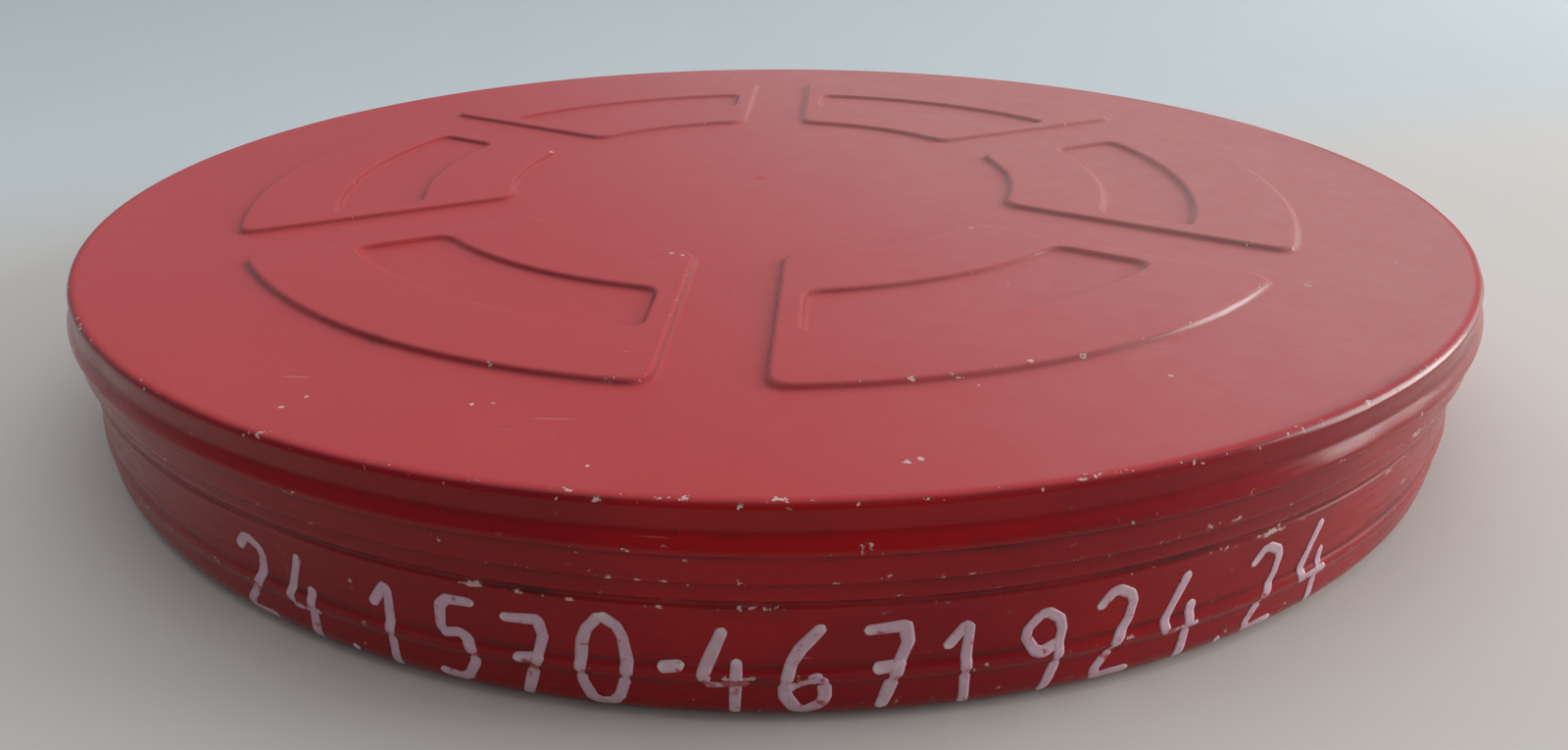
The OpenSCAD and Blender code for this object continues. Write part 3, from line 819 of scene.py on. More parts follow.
    def add_flat_ring(self, surface: Surface, r: float, under: bool = False) -> None:
        """Adds a ring on top of the flat, or under it."""
        angle = self.columns(r)
        x, y = r * np.cos(np.radians(angle)), r * np.sin(np.radians(angle))
        height, wear, crease = self.relief(r + 0 * angle, angle)
        push = sum(d.flat_push(x, y) for d in self.hollows)
        settle = self.warp * np.cos(np.radians(2 * angle + self.warp_angle)) * (r / self.neck_r) ** 2
        fade = smooth_step((self.neck_r - 1.5 - r) / 12)
        z = self.flat_z + height - (push + settle + self.warp) * fade
        if under:
            surface.add(x, y, z - self.sheet)
            return
        wear = np.maximum(wear, 0.2 * bell(self.neck_r - r, 2.5))
        wear, crease = self.used(wear, crease, angle, self.flat_z + self.neck_r - r, r)
        surface.add(x, y, z, wear=wear, crease=crease, dust=self.dust(x, y))

    def dust(self, x: np.ndarray, y: np.ndarray) -> np.ndarray:
        """Dust and painted sheen on the flat, thickest towards its right and back, where the light comes
        from.
        """
        drift = (0.95 * x + 0.45 * y) / self.neck_r
        return self.dust_least + (self.dust_most - self.dust_least) * smooth_step((drift + 0.5) / 1.1)

    def add_wall_ring(self, surface: Surface, r: float, z: float, wear: float, crease: float) -> None:
        """Adds a ring on the skirt, with its knocks."""
        angle = self.columns(r)
        ring = r - self.push(angle, r, z)
        # wear, and painted shade with grime, for this ring
        worn, shaded_and_dirty = self.used(wear, crease, angle, z, r)
        surface.add(ring * np.cos(np.radians(angle)), ring * np.sin(np.radians(angle)), z,
                    wear=worn, crease=shaded_and_dirty)


@dataclass
class CanBase(Pressing):
    """The can: a pan with a foot ring, a beaded wall, a groove, a bare band and a curled mouth."""

    neck_r: float = 189.7
    band_r: float = 190.3           # outer radius of the band under the lid
    wall_r: float = 190.1
    foot_r: float = 190.3           # outer radius below the bead
    foot_h: float = 9.0
    corner_r: float = 5.0           # rounding where the foot turns into the floor
    slope_h: float = 0.8            # height of the slope under the bead
    bead_h: float = 2.6
    bead_out: float = 0.7
    groove_z: float = 25.2
    groove_h: float = 0.9           # half the groove's height
    groove_d: float = 0.6
    step_z: float = 39.0            # top of the slope from the band to the neck
    step_h: float = 3.2
    mouth_z: float = 44.1
    curl: float = 1.1
    sheet: float = 0.6
    floor_z: float = 1.2
    ring_in: float = 176.2
    columns: int = 384              # points round a ring
    mouth_turns: tuple[int, ...] = (25, 50, 75, 90, 105, 130, 155, 180, 205, 225)
    knocks: tuple[Dent, ...] = (
        Dent(245, 18, 12, 0.35), Dent(281, 18, 16, 0.4), Dent(300, 20, 9, 0.3),
        Dent(326, 16, 14, 0.45), Dent(216, 18, 13, 0.35), Dent(30, 17, 18, 0.5),
        Dent(110, 18, 14, 0.45), Dent(165, 16, 16, 0.45), Dent(268, 10, 6, 0.2))
    scuffs: tuple[Scuff, ...] = (
        Scuff(258.9, 24.3, 3, 0.6, 1.0), Scuff(261.5, 24.2, 5, 0.5, 0.9), Scuff(264.4, 24.1, 3, 0.4, 0.75),
        Scuff(272.6, 24.5, 3, 0.4, 0.6), Scuff(274.3, 24.4, 3, 0.5, 0.75), Scuff(243, 24.2, 2.5, 0.5, 0.6),
        Scuff(294, 24.2, 6, 0.4, 0.5), Scuff(298.6, 24.1, 4, 0.5, 0.65), Scuff(302.6, 24.0, 5, 0.7, 0.85),
        Scuff(306, 24.0, 5, 0.6, 0.65), Scuff(315, 24, 10, 0.5, 0.5), Scuff(272.4, 10.2, 4, 0.5, 1.15),
        Scuff(258, 12.4, 4, 0.4, 0.5), Scuff(285, 9.4, 4, 0.4, 0.5), Scuff(225, 10.4, 6, 0.5, 0.55),
        Scuff(45, 24, 12, 0.6, 0.7), Scuff(100, 24, 9, 0.6, 0.65), Scuff(150, 24, 10, 0.6, 0.7),
        Scuff(20, 10, 10, 0.8, 0.7), Scuff(80, 10, 8, 0.7, 0.7), Scuff(130, 10, 9, 0.8, 0.7),
        Scuff(195, 10, 8, 0.7, 0.65), Scuff(345, 10, 8, 0.7, 0.6))
    smudges: tuple[Scuff, ...] = (
        Scuff(273.2, 23.9, 7, 0.8, 0.5), Scuff(262, 24.8, 9, 0.6, 0.6), Scuff(296, 24.8, 12, 0.6, 0.4),
        Scuff(272.6, 10.0, 5, 0.7, 0.7), Scuff(262, 9.4, 8, 0.8, 0.4), Scuff(247, 12.3, 6, 0.5, 0.6))
    nicks: tuple[Nick, ...] = (
        Nick(280.5, 190, 20, 1.2, 0.8), Nick(251, 190, 19, 1.1, 0.8), Nick(265, 190.6, 10.6, 1.1, 0.8),
        Nick(318, 190, 17, 1.5), Nick(60, 190, 18, 1.6), Nick(205, 190, 16, 1.6), Nick(125, 190, 19, 1.6))

    def underside(self) -> Section:
        """Radius, height, wear, and painted shade with grime, from the floor's centre out to the foot's
        rounding.
        """
        z, inner, outer = self.floor_z, self.ring_in, self.foot_r - self.corner_r
        return [(4, z, 0, 0), (60, z, 0, 0), (120, z, 0, 0), (inner - 3.2, z, 0, 0.3),
                (inner - 2.2, z - 0.15, 0, 0.5), (inner - 0.3, 0.15, 0.5, 0), (inner + 0.6, 0, 1, 0),
                (outer - 2, 0, 0.8, 0), (outer, 0, 0.9, 0)]

    def wall(self) -> Section:
        """Radius, height, wear, and painted shade with grime, from the foot's rounding up to the mouth."""
        w, f, n, turn_r = self.wall_r, self.foot_r, self.neck_r, self.corner_r
        centre = f - turn_r, turn_r
        line = [(*polar(turn_r, a, centre), 0.9 if a < -50 else 0.2, 0.2 if -50 < a < -15 else 0.1)
                for a in (-78, -66, -54, -42, -30, -20, -10, 0)]
        top = self.foot_h + self.slope_h
        bead = w + self.bead_out
        line += [(f, 6.5, 0, 0), (f, self.foot_h - 0.7, 0, 0.1), (f + 0.02, self.foot_h - 0.2, 0, 0.5),
                 (f + 0.2, self.foot_h + 0.25, 0, 0.4), (bead - 0.1, top - 0.1, 0.1, 0),
                 (bead, top + 0.4, 0.3, 0), (bead, top + 1.0, 0.3, 0),
                 (bead - 0.12, top + 1.5, 0.1, 0), (bead - 0.4, top + 2.0, 0, 0.1),
                 (w + 0.1, top + self.bead_h - 0.2, 0, 0.4), (w, top + self.bead_h + 0.1, 0, 0.8),
                 (w, top + self.bead_h + 0.6, 0, 0.2)]
        low, high = top + self.bead_h + 1.5, self.groove_z - self.groove_h - 1
        line += [(w, low + (high - low) * i / 6, 0, 0) for i in range(7)]
        z, b = self.groove_z, self.band_r
        line += [(w + 0.04, z - 1.5, 0.1, 0), (w + 0.08, z - 1.2, 0.25, 0), (w, z - 0.9, 0.3, 0),
                 (w - 0.2, z - 0.6, 0.1, 0.3), (b - self.groove_d, z - 0.1, 0, 0.7),
                 (b - self.groove_d + 0.15, z + 0.35, 0, 0.6), (b - 0.12, z + 0.75, 0.1, 0.2),
                 (b, z + 1.1, 0.2, 0), (b, z + 2.2, 0, 0), (b, z + 3.4, 0, 0.1), (b, z + 4.4, 0, 0.6),
                 (b, z + 6, 0, 0.3),
                 (b, self.step_z - self.step_h, 0, 0), (b - 0.08, self.step_z - self.step_h + 0.5, 0, 0),
                 (n + 0.1, self.step_z - 0.3, 0, 0), (n, self.step_z + 0.3, 0, 0.1),
                 (n, self.step_z + 2, 0, 0), (n, self.mouth_z - self.curl, 0.2, 0)]
        return line

    def mouth(self) -> Section:
        """The curl over the mouth, rolled inwards."""
        centre = self.neck_r - self.curl, self.mouth_z - self.curl
        return [(*polar(self.curl, a, centre), 0.3, 0) for a in self.mouth_turns]

    def inside(self) -> Section:
        """Radius, height, wear, and painted shade with grime, from the mouth down to the floor's centre."""
        w, f, n, s = (r - self.sheet for r in (self.wall_r, self.foot_r, self.neck_r, 2 * self.sheet))
        b, z, turn_r = self.band_r - self.sheet, self.groove_z, self.corner_r - self.sheet
        top = self.foot_h + self.slope_h
        line = [(n, self.mouth_z - 2.6, 0, 0), (n, self.step_z, 0, 0),
                (b, self.step_z - self.step_h - 0.4, 0, 0.2), (b, z + 1.3, 0, 0), (b - 0.3, z + 0.7, 0, 0),
                (b - self.groove_d, z + 0.2, 0, 0), (b - self.groove_d, z - 0.3, 0, 0),
                (w - 0.1, z - 0.9, 0, 0.2), (w, z - 1.6, 0, 0.3), (w, z - 4, 0, 0),
                (w, top + self.bead_h + 0.2, 0, 0.2),
                (w + 0.5, top + 1.4, 0, 0.4), (w + self.bead_out, top + 0.6, 0, 0.6),
                (w + 0.4, top - 0.2, 0, 0.8), (f, self.foot_h - 0.3, 0, 0.3), (f, 6, 0, 0.2)]
        centre = f - turn_r, self.corner_r
        line += [(*polar(turn_r, a, centre), 0, 0.6) for a in (0, -20, -40, -60, -78)]
        return line + [(f - turn_r - 1, s, 0, 0.7), (self.ring_in + 0.2, s, 0.1, 0.5),
                       (self.ring_in - 2, self.floor_z + s - 0.1, 0.2, 0),
                       (self.ring_in - 3.4, self.floor_z + s, 0, 0), (120, self.floor_z + s, 0, 0),
                       (60, self.floor_z + s, 0, 0), (4, self.floor_z + s, 0, 0)]

    def radius_at(self, z: float) -> float:
        """The wall's outer radius at a height between the foot and the neck."""
        radii, heights, _, _ = zip(*self.wall())
        return float(np.interp(z, heights, radii))

    def build(self) -> bpy.types.Object:
        """Makes the can's mesh.

        Returns:
            The can.
        """
        surface = Surface()
        angle = np.arange(self.columns) * 360 / self.columns
        x, y = np.cos(np.radians(angle)), np.sin(np.radians(angle))
        outside = self.underside() + self.wall()
        for row, (r, z, wear, crease) in enumerate(outside + self.mouth() + self.inside()):
            knocked = smooth_step((self.groove_z + 1 - z) / 3) if r > self.foot_r - 1.5 else 0
            ring = r - self.push(angle, self.wall_r, z) * knocked
            if row < len(outside):
                wear, crease = self.used(wear, crease, angle, z, r)
            surface.add(ring * x, ring * y, z, wear=wear, crease=crease)
        return surface.piece("can_base_pan")


@dataclass
class BrushedNumbers:
    """A hand-brushed row of plain numbers round the can's wall and over its bead."""

    can: CanBase
    text: str = "24.1570-4671924.24"
    start: float = 241.6            # angle of the first stroke, degrees
    end: float = 309.8              # angle of the last stroke, degrees
    low: float = 2.4                # height of the row's foot, mm
    high: float = 21.4              # height of the row's head, mm
    brush: float = 2.15             # width of a stroke, mm
    lift: float = 0.04              # thickness of the paint, mm
    stand_off: float = 0.03         # paint's underside from the wall, mm
    floor_gap: float = 0.6          # the paint keeps this far above the foot's plane, mm
    groove_gap: float = 1.6         # and this far below the groove's middle, mm
    step: float = 0.45              # distance between points along a stroke, mm
    rub_low: float = 8.6            # the bead's underside, where the brush skipped
    rub_high: float = 9.9
    seed: int = 7

    strokes: dict[str, tuple[tuple[tuple[float, float], ...], ...]] = field(default_factory=lambda: {
        "0": (((0.5, 1), (0.14, 0.78), (0.04, 0.3), (0.3, 0), (0.72, 0.04), (0.94, 0.42),
               (0.84, 0.86), (0.44, 1.0)),),
        "1": (((0.12, 0.68), (0.55, 1), (0.5, 0.5), (0.52, 0)),),
        "2": (((0.06, 0.8), (0.36, 1), (0.8, 0.88), (0.74, 0.58), (0.05, 0.03), (0.96, 0.06)),),
        "4": (((0.52, 1), (0.04, 0.36), (0.96, 0.4)), ((0.74, 0.66), (0.67, 0))),
        "5": (((0.92, 0.97), (0.22, 0.96), (0.16, 0.55), (0.66, 0.6), (0.9, 0.32), (0.62, 0.02),
               (0.06, 0.08)),),
        "6": (((0.78, 0.98), (0.28, 0.66), (0.08, 0.26), (0.4, 0), (0.86, 0.14), (0.8, 0.44),
               (0.16, 0.3)),),
        "7": (((0.02, 0.94), (0.93, 0.98), (0.4, 0)), ((0.22, 0.5), (0.82, 0.54))),
        "9": (((0.84, 0.62), (0.4, 0.5), (0.1, 0.76), (0.46, 1), (0.86, 0.84), (0.8, 0.4), (0.58, 0)),),
        "-": (((0.02, 0.5), (0.98, 0.54)),),
        ".": (((0.3, 0.06), (0.62, 0.08)),),
    })

    def ribbon(self, path: Sequence[Vector], pen: random.Random) -> tuple[list, list, list, list]:
        """One stroke, flat in (arc length, height), in mm.

        Args:
            path: the stroke's corners.
            pen: source of the hand's unsteadiness.

        Returns:
            Points, faces, and how pooled and how rubbed the paint is at each point.
        """
        line = self.stroke_line(path)
        total = len(line) - 1
        half_brush = self.brush / 2
        phase, press, press_end = pen.uniform(0, 6), pen.uniform(0.9, 1.1), pen.uniform(0.2, 0.9)
        points, faces, pool, wear = [], [], [], []
        for i, p in enumerate(line):
            ahead = line[min(i + 1, total)] - line[max(i - 1, 0)]
            side = Vector((-ahead.y, ahead.x)).normalized()
            run, left = i * self.step, (total - i) * self.step
            short = max(0.0, 1 - min(run, left) / half_brush)
            rubbed = 1.0 if self.rub_low < p.y < self.rub_high else 0.0
            half = half_brush * press * math.sqrt(max(0.04, 1 - short ** 2))
            half *= (1 + 0.07 * math.sin(run / 1.9 + phase)) * (1 - 0.3 * rubbed)
            points += [p + side * half * k for k in (1, 0.5, 0, -0.5, -1)]
            wet = press_end * math.exp(-(min(run, left * 0.8) / 1.3) ** 2)
            pool += [wet * k for k in (0.3, 0.8, 1, 0.8, 0.3)]
            wear += [rubbed + 0.35 * abs(k) for k in (1, 0.5, 0, -0.5, -1)]
        for i in range(total):
            faces += [[5 * i + k, 5 * i + k + 1, 5 * i + k + 6, 5 * i + k + 5] for k in range(4)]
        return points, faces, pool, wear

    def stroke_line(self, corners: Sequence[Vector]) -> list[Vector]:
        """A line through the corners, slightly rounded, with points at even steps."""
        curve = [corners[0]]
        for a, b in zip(corners, corners[1:]):
            curve += [a.lerp(b, 0.2), a.lerp(b, 0.8)]
        curve.append(corners[-1])
        runs = np.concatenate([[0], np.cumsum([(b - a).length for a, b in zip(curve, curve[1:])])])
        count = max(2, round(runs[-1] / self.step))
        at = np.linspace(0, runs[-1], count + 1)
        xs = np.interp(at, runs, [p.x for p in curve])
        ys = np.interp(at, runs, [p.y for p in curve])
        return [Vector((x, y)) for x, y in zip(xs, ys)]

    def build(self) -> bpy.types.Object:
        """Makes the numbers' mesh, laid on the wall.

        Returns:
            The numbers.
        """
        pen = random.Random(self.seed)
        widths = [0.5 if c in "-." else 1.0 for c in self.text]
        pitch = (self.end - self.start) / sum(widths)
        at = self.start
        points: list[tuple[float, float, float]] = []
        faces: list[list[int]] = []
        marks: dict[str, list[float]] = {"pool": [], "wear": []}
        for char, width in zip(self.text, widths):
            wide = pitch * width * 0.7
            sink, grow, lean = pen.uniform(-0.7, 0.7), pen.uniform(0.93, 1.03), pen.uniform(-0.03, 0.09)
            for stroke in self.strokes[char]:
                path = [Vector((math.radians(at + wide * (x + lean * y)) * self.can.wall_r,
                                self.low + sink + (self.high - self.low) * y * grow)) for x, y in stroke]
                flat, quads, pool, wear = self.ribbon(path, pen)
                base = len(points)
                points += [self.on_wall(p.x, p.y) for p in flat]
                faces += [[base + k for k in quad] for quad in quads]
                marks["pool"] += pool
                marks["wear"] += wear
            at += pitch * width
        mesh = bpy.data.meshes.new("brushed_numbers")
        mesh.from_pydata(points, [], faces)
        add_marks(mesh, marks)
        piece = add_object("brushed_numbers", mesh)
        coat = piece.modifiers.new("coat", "SOLIDIFY")
        coat.thickness = self.lift * MM
        coat.offset = 1
        apply_modifiers(piece)
        return piece

    def on_wall(self, arc: float, z: float) -> tuple[float, float, float]:
        """The place on the wall, in metres, for an arc length and a height in mm."""
        turn = arc / self.can.wall_r
        held = min(max(z, self.floor_gap), self.can.groove_z - self.groove_gap)
        push = float(self.can.push(np.array([math.degrees(turn)]), self.can.wall_r, held)[0])
        r = self.can.radius_at(held) - push + self.stand_off
        return r * math.cos(turn) * MM, r * math.sin(turn) * MM, held * MM


def apply_modifiers(piece: bpy.types.Object) -> None:
    """Turns the piece's modifiers into its plain mesh."""
    graph = bpy.context.evaluated_depsgraph_get()
    mesh = bpy.data.meshes.new_from_object(piece.evaluated_get(graph))
    piece.modifiers.clear()
    piece.data = mesh


class Recipe:
    """A Geometry Nodes tree with named inputs, which makes the mesh of one piece."""

    def __init__(self, name: str, **inputs: str) -> None:
        """Starts the tree.

        Args:
            name: the tree's name.
            inputs: each input's name and the type of its socket.
        """
        self.tree = bpy.data.node_groups.new(name, "GeometryNodeTree")
        face = self.tree.interface
        face.new_socket("Geometry", in_out="OUTPUT", socket_type="NodeSocketGeometry")
        self.sockets = {label: face.new_socket(label, in_out="INPUT", socket_type=kind)
                        for label, kind in inputs.items()}
        self.add = partial(add_node, self.tree)
        self.start = self.add(RECIPE_START)

    def given(self, label: str) -> bpy.types.NodeSocket:
        """The socket of a named input."""
        return self.start.outputs[label]

    def finish(self, geometry: bpy.types.Node) -> None:
        """Realizes the copies, gives them the material and ends the tree."""
        dressed = self.add(DRESS, self.add(REALIZE, geometry), self.given("Material"))
        self.add(RECIPE_END, dressed)

    def make(self, name: str, **values: Any) -> bpy.types.Object:
        """Runs the tree and returns the piece as a plain mesh.

        Args:
            name: the piece's name.
            values: a value for each named input.

        Returns:
            The piece.
        """
        piece = link_object(name, bpy.data.meshes.new(name))
        modifier = piece.modifiers.new(name, "NODES")
        modifier.node_group = self.tree
        for label, value in values.items():
            modifier[self.sockets[label].identifier] = value
        apply_modifiers(piece)
        return piece


def ring_of_copies() -> Recipe:
    """Copies of a shape in a ring round the axis, each facing outwards and a little unsteady.

    Returns:
        The recipe, with lengths in metres and angles in radians.
    """
    recipe = Recipe("ring_of_copies", Shape="NodeSocketObject", Material="NodeSocketMaterial",
                    Count="NodeSocketInt", Radius="NodeSocketFloat", Height="NodeSocketFloat",
                    Tip="NodeSocketFloat", Start="NodeSocketFloat", Unsteady="NodeSocketFloat")
    add, given = recipe.add, recipe.given
    share = add(DIVIDE, add(INDEX), given("Count"))
    angle = add(ADD, add(MULTIPLY, share, math.tau), given("Start"))
    place = add(JOIN, add(MULTIPLY, add(COSINE, angle), given("Radius")),
                add(MULTIPLY, add(SINE, angle), given("Radius")), given("Height"))
    wobble = add(MULTIPLY, add(RANDOM, -1, 1, 4), given("Unsteady"))
    spin = add(JOIN, given("Tip"), 0, add(ADD, angle, wobble))
    shape = add(SHAPE, given("Shape")).outputs["Geometry"]
    recipe.finish(add(COPIES, add(POINTS, given("Count"), place), shape, spin))
    return recipe


def proud_wraps() -> Recipe:
    """Wraps of film that stand a little proud of the wound pack, at random radii.

    Returns:
        The recipe, with lengths in metres.
    """
    recipe = Recipe("proud_wraps", Material="NodeSocketMaterial", Count="NodeSocketInt",
                    Inner="NodeSocketFloat", Outer="NodeSocketFloat", Face="NodeSocketFloat",
                    Rise="NodeSocketFloat")
    add, given = recipe.add, recipe.given
    gap = add(SUBTRACT, given("Outer"), given("Inner"))
    radius = add(ADD, given("Inner"), add(MULTIPLY, gap, add(RANDOM, 0, 1, 11)))
    lift = add(MULTIPLY, given("Rise"), add(RANDOM, 0.1, 0.9, 5))
    place = add(JOIN, 0, 0, add(ADD, given("Face"), lift))
    turn = add(JOIN, 0, 0, add(RANDOM, 0, math.tau, 8))
    wraps = add(COPIES, add(POINTS, given("Count"), place), add(CIRCLE, 160, 1.0), turn,
                add(JOIN, radius, radius, 1.0))
    edge = add(CIRCLE, 4, 0.1 * MM)
    recipe.finish(add(TUBE, add(REALIZE, wraps), edge))
    return recipe


@dataclass
class Reel:
    """The reel in the can: its solids get their finishes, and nodes make what repeats on it."""

    plate_r: float = 23.0           # radius of the ring of rivets, mm
    rivets: int = 6
    rivet_grip: float = 2.3         # from a plate's outer face to where a rivet's head begins, mm
    ribs: int = 6
    lower_seat: float = 2.1         # height of the lower plate's outer face, mm
    upper_seat: float = 42.7        # height of the upper plate's outer face, mm
    rib_at: float = 117.0           # radius of the middle of a pressed rib, mm
    rib_long: float = 58.0
    rib_wide: float = 7.0
    rib_high: float = 0.7
    rib_base: float = 41.2          # height of the upper flange's outer face, mm
    rib_turn: float = 30.0          # angle of the first arm, degrees
    wraps: int = 46                 # wraps of film that stand proud
    film_in: float = 54.0           # radii between which they lie, mm
    film_out: float = 164.0
    film_face: float = 39.9         # height that they stand up from, mm
    wrap_rise: float = 0.28         # the most that they stand up, mm
    finishes: dict[str, Any] = field(default_factory=lambda: {
        "lower_flange": TinnedSteel("tinned_flange_steel"),
        "upper_flange": TinnedSteel("tinned_flange_steel_upper"),
        "hub_drum": TinnedSteel("tinned_drum_steel", ring_mm=1.4),
        "lower_hub_plate": TinnedSteel("zinc_plate_lower", Tone.ZINC, Tone.TIN_DULL, 0.5),
        "upper_hub_plate": TinnedSteel("zinc_plate_upper", Tone.ZINC, Tone.TIN_DULL, 0.5),
        "spindle_sleeve": TinnedSteel("turned_sleeve_steel", Tone.ZINC, Tone.TIN_DULL, 0.3),
        "film_pack": WoundFilm("wound_film_edges"),
        "leader_tail": PlainStock("white_leader", Tone.LEADER, Tone.TAPE, 0.35),
        "tail_tape": PlainStock("paper_tape", Tone.TAPE, Tone.FILM_WARM, 0.7),
    })

    def rivet(self) -> bpy.types.Object:
        """A rivet, its head on top and its clenched end below, to be copied round the plates."""
        line = [(0.7, -2.42), (1.5, -2.4), (1.72, -2.34), (1.6, -2.2), (1.6, -0.2), (3.2, 0), (3.16, 0.25),
                (2.9, 0.55), (2.4, 0.8), (1.6, 0.95), (0.8, 1.0)]
        surface = Surface()
        sides = 16
        turn = np.radians(np.arange(sides) * 360 / sides)
        for r, z in line:
            surface.add(r * np.cos(turn), r * np.sin(turn), z)
        return surface.piece("rivet_pattern")

    def rib(self) -> bpy.types.Object:
        """A rib pressed in a flange's arm, long along X and rounded at both ends."""
        half, wide, high = self.rib_long / 2, self.rib_wide / 2, self.rib_high
        sides = 24
        turn = np.radians(np.arange(sides) * 360 / sides)
        surface = Surface()
        for share, z in ((1.0, -0.05), (0.97, high * 0.25), (0.8, high * 0.7), (0.5, high * 0.95),
                         (0.2, high)):
            x = wide * share * np.cos(turn) + (half - wide) * np.sign(np.round(np.cos(turn), 6))
            surface.add(x, wide * share * np.sin(turn), z)
        return surface.piece("rib_pattern")

    def add_copies(self) -> None:
        """Adds the rivets in place of the solids' rivets, the arms' ribs and the proud wraps."""
        ring = ring_of_copies()
        steel = TinnedSteel("rivet_steel", Tone.TIN, Tone.TIN_DULL, 0.3).material()
        plated = TinnedSteel("rib_tinned_steel").material()
        rivet, rib = self.rivet(), self.rib()
        for side, height, tip in (("lower", self.lower_seat + self.rivet_grip, 0.0),
                                  ("upper", self.upper_seat - self.rivet_grip, math.pi)):
            heads = ring.make(f"{side}_rivets", Shape=rivet, Material=steel, Count=self.rivets,
                              Radius=self.plate_r * MM, Height=height * MM, Tip=tip, Start=0.0,
                              Unsteady=0.5)
            solids = [f"{side}_rivet_{i + 1}" for i in range(self.rivets)]
            finish_piece(heads, steel, "reel", solids)
        ribs = ring.make("flange_arm_ribs", Shape=rib, Material=plated, Count=self.ribs,
                         Radius=self.rib_at * MM, Height=self.rib_base * MM, Tip=0.0,
                         Start=math.radians(self.rib_turn), Unsteady=0.0)
        finish_piece(ribs, plated, "reel")
        film = WoundFilm("proud_film_edges").material()
        wraps = proud_wraps().make("proud_wraps", Material=film, Count=self.wraps,
                                   Inner=self.film_in * MM, Outer=self.film_out * MM,
                                   Face=self.film_face * MM, Rise=self.wrap_rise * MM)
        finish_piece(wraps, film, "reel")
        for pattern in (rivet, rib):
            bpy.data.objects.remove(pattern)

    def dress(self) -> None:
        """Gives each solid of the reel its finish."""
        for name, finish in self.finishes.items():
            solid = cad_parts[name]
            solid.data.materials.clear()
            solid.data.materials.append(finish.material())
            LOG.info("%s: %s", name, finish.name)


@dataclass(frozen=True)
class Lamp:
    """A soft lamp that faces the can."""

    name: str
    place: tuple[float, float, float]       # metres
    size: tuple[float, float]               # width and height, metres
    watts: float
    tint: tuple[float, float, float]

    def add(self) -> None:
        """Adds the lamp."""
        data = bpy.data.lights.new(self.name, "AREA")
        data.shape = "RECTANGLE"
        data.size, data.size_y = self.size
        data.energy = self.watts
        data.color = self.tint
        lamp = link_object(self.name, data)
        lamp.location = self.place
        can_middle = Vector((0, 0, 0.03))
        lamp.rotation_euler = (can_middle - Vector(self.place)).to_track_quat("-Z", "Y").to_euler()


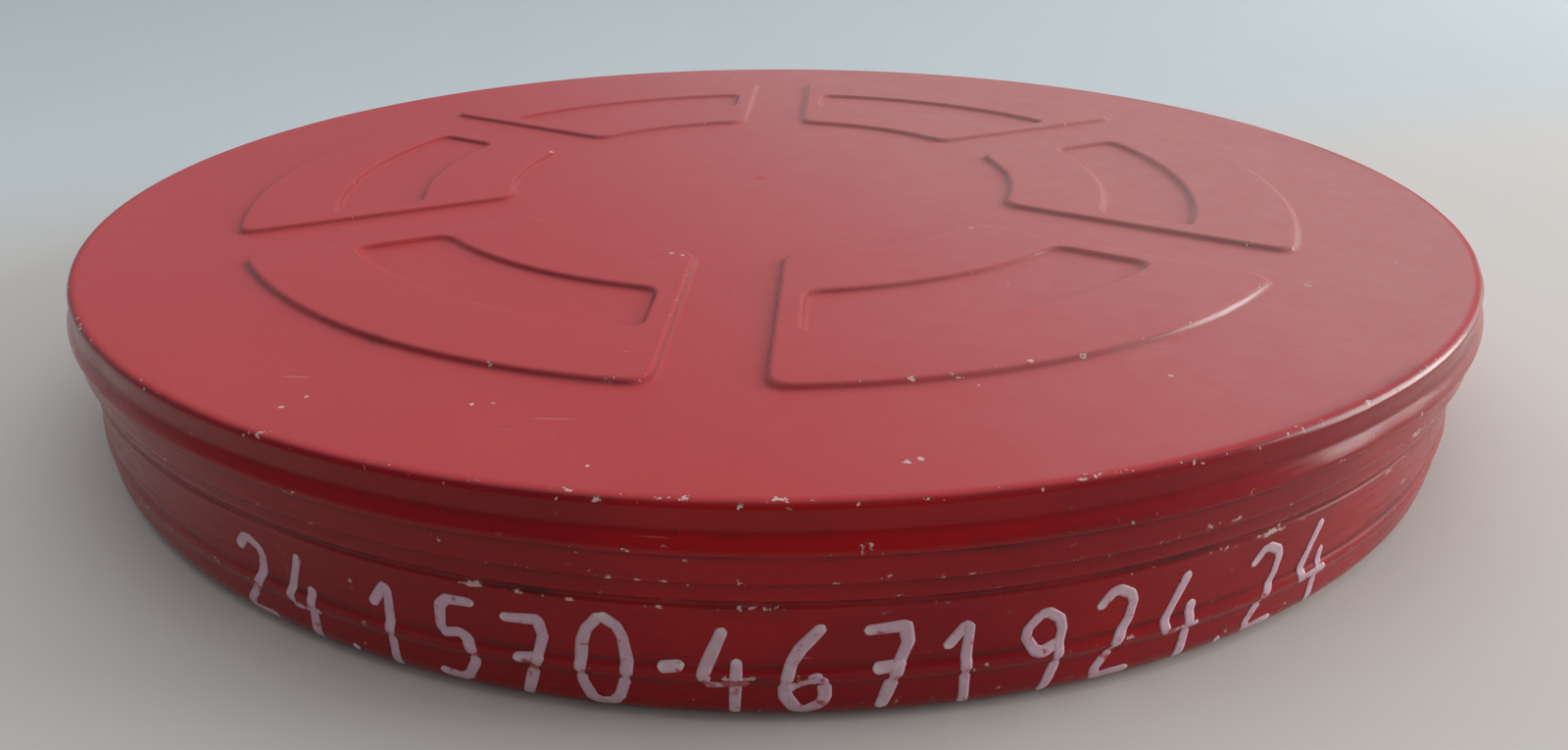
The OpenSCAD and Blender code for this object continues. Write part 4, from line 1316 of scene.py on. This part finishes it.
@dataclass
class Studio:
    """The sweep, the lamps and the camera."""

    image_w: int = 1600
    focal_px: float = 1122.8        # focal length in pixels of the full image
    centre_x_px: float = 738.4      # where the lens's axis meets the image
    distance: float = 336.2         # camera from the can's axis, mm
    height: float = 135.7           # camera above the floor, mm
    yaw: float = -2.1               # degrees, to the right of the can's axis
    pitch: float = 25.28            # degrees down
    roll: float = -0.87             # degrees
    pattern_turn: float = 3.8       # the can stands turned this far round its axis, degrees
    world_dim: float = 0.21         # strength of the world's light from the front left
    world_bright: float = 0.95      # strength of the world's light from the back right
    bright_side: tuple[float, float, float] = (0.42, 0.8, 0.42)
    sky: tuple[float, float, float, float] = (0.82, 0.85, 0.88, 1)
    lamps: tuple[Lamp, ...] = (
        Lamp("window", (2.2, 0.42, 0.64), (1.4, 1.3), 45, (1, 0.99, 0.97)),
        Lamp("ceiling", (-0.1, 0.35, 1.6), (2.2, 2.0), 8, (0.97, 0.99, 1)))
    sweep_back: float = 0.42        # where the sweep starts to rise, metres behind the can's axis
    sweep_bend: float = 0.28        # radius of its rise, metres
    sweep_reach: float = 3.0        # metres
    sweep_top: float = 0.3          # height of its upper edge, metres
    sweep_slant: float = 14.0       # the rise runs slantwise behind the can, degrees

    def add_camera(self) -> None:
        """Adds the camera at the viewing angle."""
        yaw, pitch, roll = (math.radians(a) for a in (self.yaw, self.pitch, self.roll))
        ahead = Vector((math.sin(yaw) * math.cos(pitch), math.cos(yaw) * math.cos(pitch),
                        -math.sin(pitch)))
        right = Vector((math.cos(yaw), -math.sin(yaw), 0))
        up = right.cross(ahead)
        rolled_right = right * math.cos(roll) + up * math.sin(roll)
        rolled_up = up * math.cos(roll) - right * math.sin(roll)
        turn = Matrix.Rotation(math.radians(self.pattern_turn), 4, "Z")
        pose = Matrix((rolled_right, rolled_up, -ahead)).transposed().to_4x4()
        pose.translation = Vector((0, -self.distance, self.height)) * MM
        data = bpy.data.cameras.new("camera")
        data.sensor_fit = "HORIZONTAL"
        data.sensor_width = 36.0
        data.lens = self.focal_px / self.image_w * data.sensor_width
        data.shift_x = 0.5 - self.centre_x_px / self.image_w
        data.clip_start = 0.01
        camera = link_object("camera", data)
        camera.matrix_world = turn @ pose
        bpy.context.scene.camera = camera

    def add_sweep(self) -> None:
        """Adds the pale floor, which curves up behind just out of the camera's view."""
        back, bend, reach = self.sweep_back, self.sweep_bend, self.sweep_reach
        rows = [(-reach, 0.0), (-1, 0.0), (0, 0.0), (back, 0.0)]
        steps, columns = 16, 61
        for i in range(1, steps + 1):
            turn = math.radians(90 * i / steps)
            rows.append((back + bend * math.sin(turn), bend * (1 - math.cos(turn))))
        rows.append((back + bend, self.sweep_top))
        lean = math.tan(math.radians(self.sweep_slant))
        across = np.linspace(-reach, reach, columns)
        points = [(x, y + lean * x * smooth_step(np.array((y + 0.1) / 0.5)).item(), z)
                  for y, z in rows for x in across]
        faces = [[r * columns + c, r * columns + c + 1, (r + 1) * columns + c + 1, (r + 1) * columns + c]
                 for r in range(len(rows) - 1) for c in range(columns - 1)]
        mesh = bpy.data.meshes.new("sweep")
        mesh.from_pydata(points, [], faces)
        mesh.materials.append(SetCloth("set_cloth").material())
        mesh.shade_smooth()
        link_object("sweep", mesh)

    def light(self) -> None:
        """Adds the lamps and a world that is brighter behind and to the right."""
        for lamp in self.lamps:
            lamp.add()
        world = bpy.data.worlds.new("room")
        world.use_nodes = True
        tree = world.node_tree
        toward = add_node(tree, DOT, add_node(tree, PLACE).outputs["Generated"], self.bright_side)
        glow = add_node(tree, EASE, toward, -0.6, 0.95, self.world_dim, self.world_bright)
        background = tree.nodes["Background"]
        link_or_set(tree, background.inputs["Color"], self.sky)
        link_or_set(tree, background.inputs["Strength"], glow)
        bpy.context.scene.world = world
        bpy.context.scene.view_settings.view_transform = "Standard"


def main() -> None:
    """Builds the studio, then the can from the outside in."""
    logging.basicConfig(level=logging.INFO, format="%(name)s: %(message)s")
    studio = Studio()
    studio.add_camera()
    studio.add_sweep()
    studio.light()
    lid, can = CanLid(), CanBase()
    lid_paint = WornEnamel("lid_stoving_enamel", nicks=lid.nicks)
    finish_piece(lid.build(), lid_paint.material(), "lid", ["can_lid"])
    can_paint = WornEnamel("can_stoving_enamel", gloss=0.24, nicks=can.nicks)
    finish_piece(can.build(), can_paint.material(), "can", ["can_base"])
    finish_piece(BrushedNumbers(can).build(), BrushedWhite("brushed_white_lacquer").material(),
                 "can")
    reel = Reel()
    reel.dress()
    reel.add_copies()


if __name__ == "__main__":
    main()
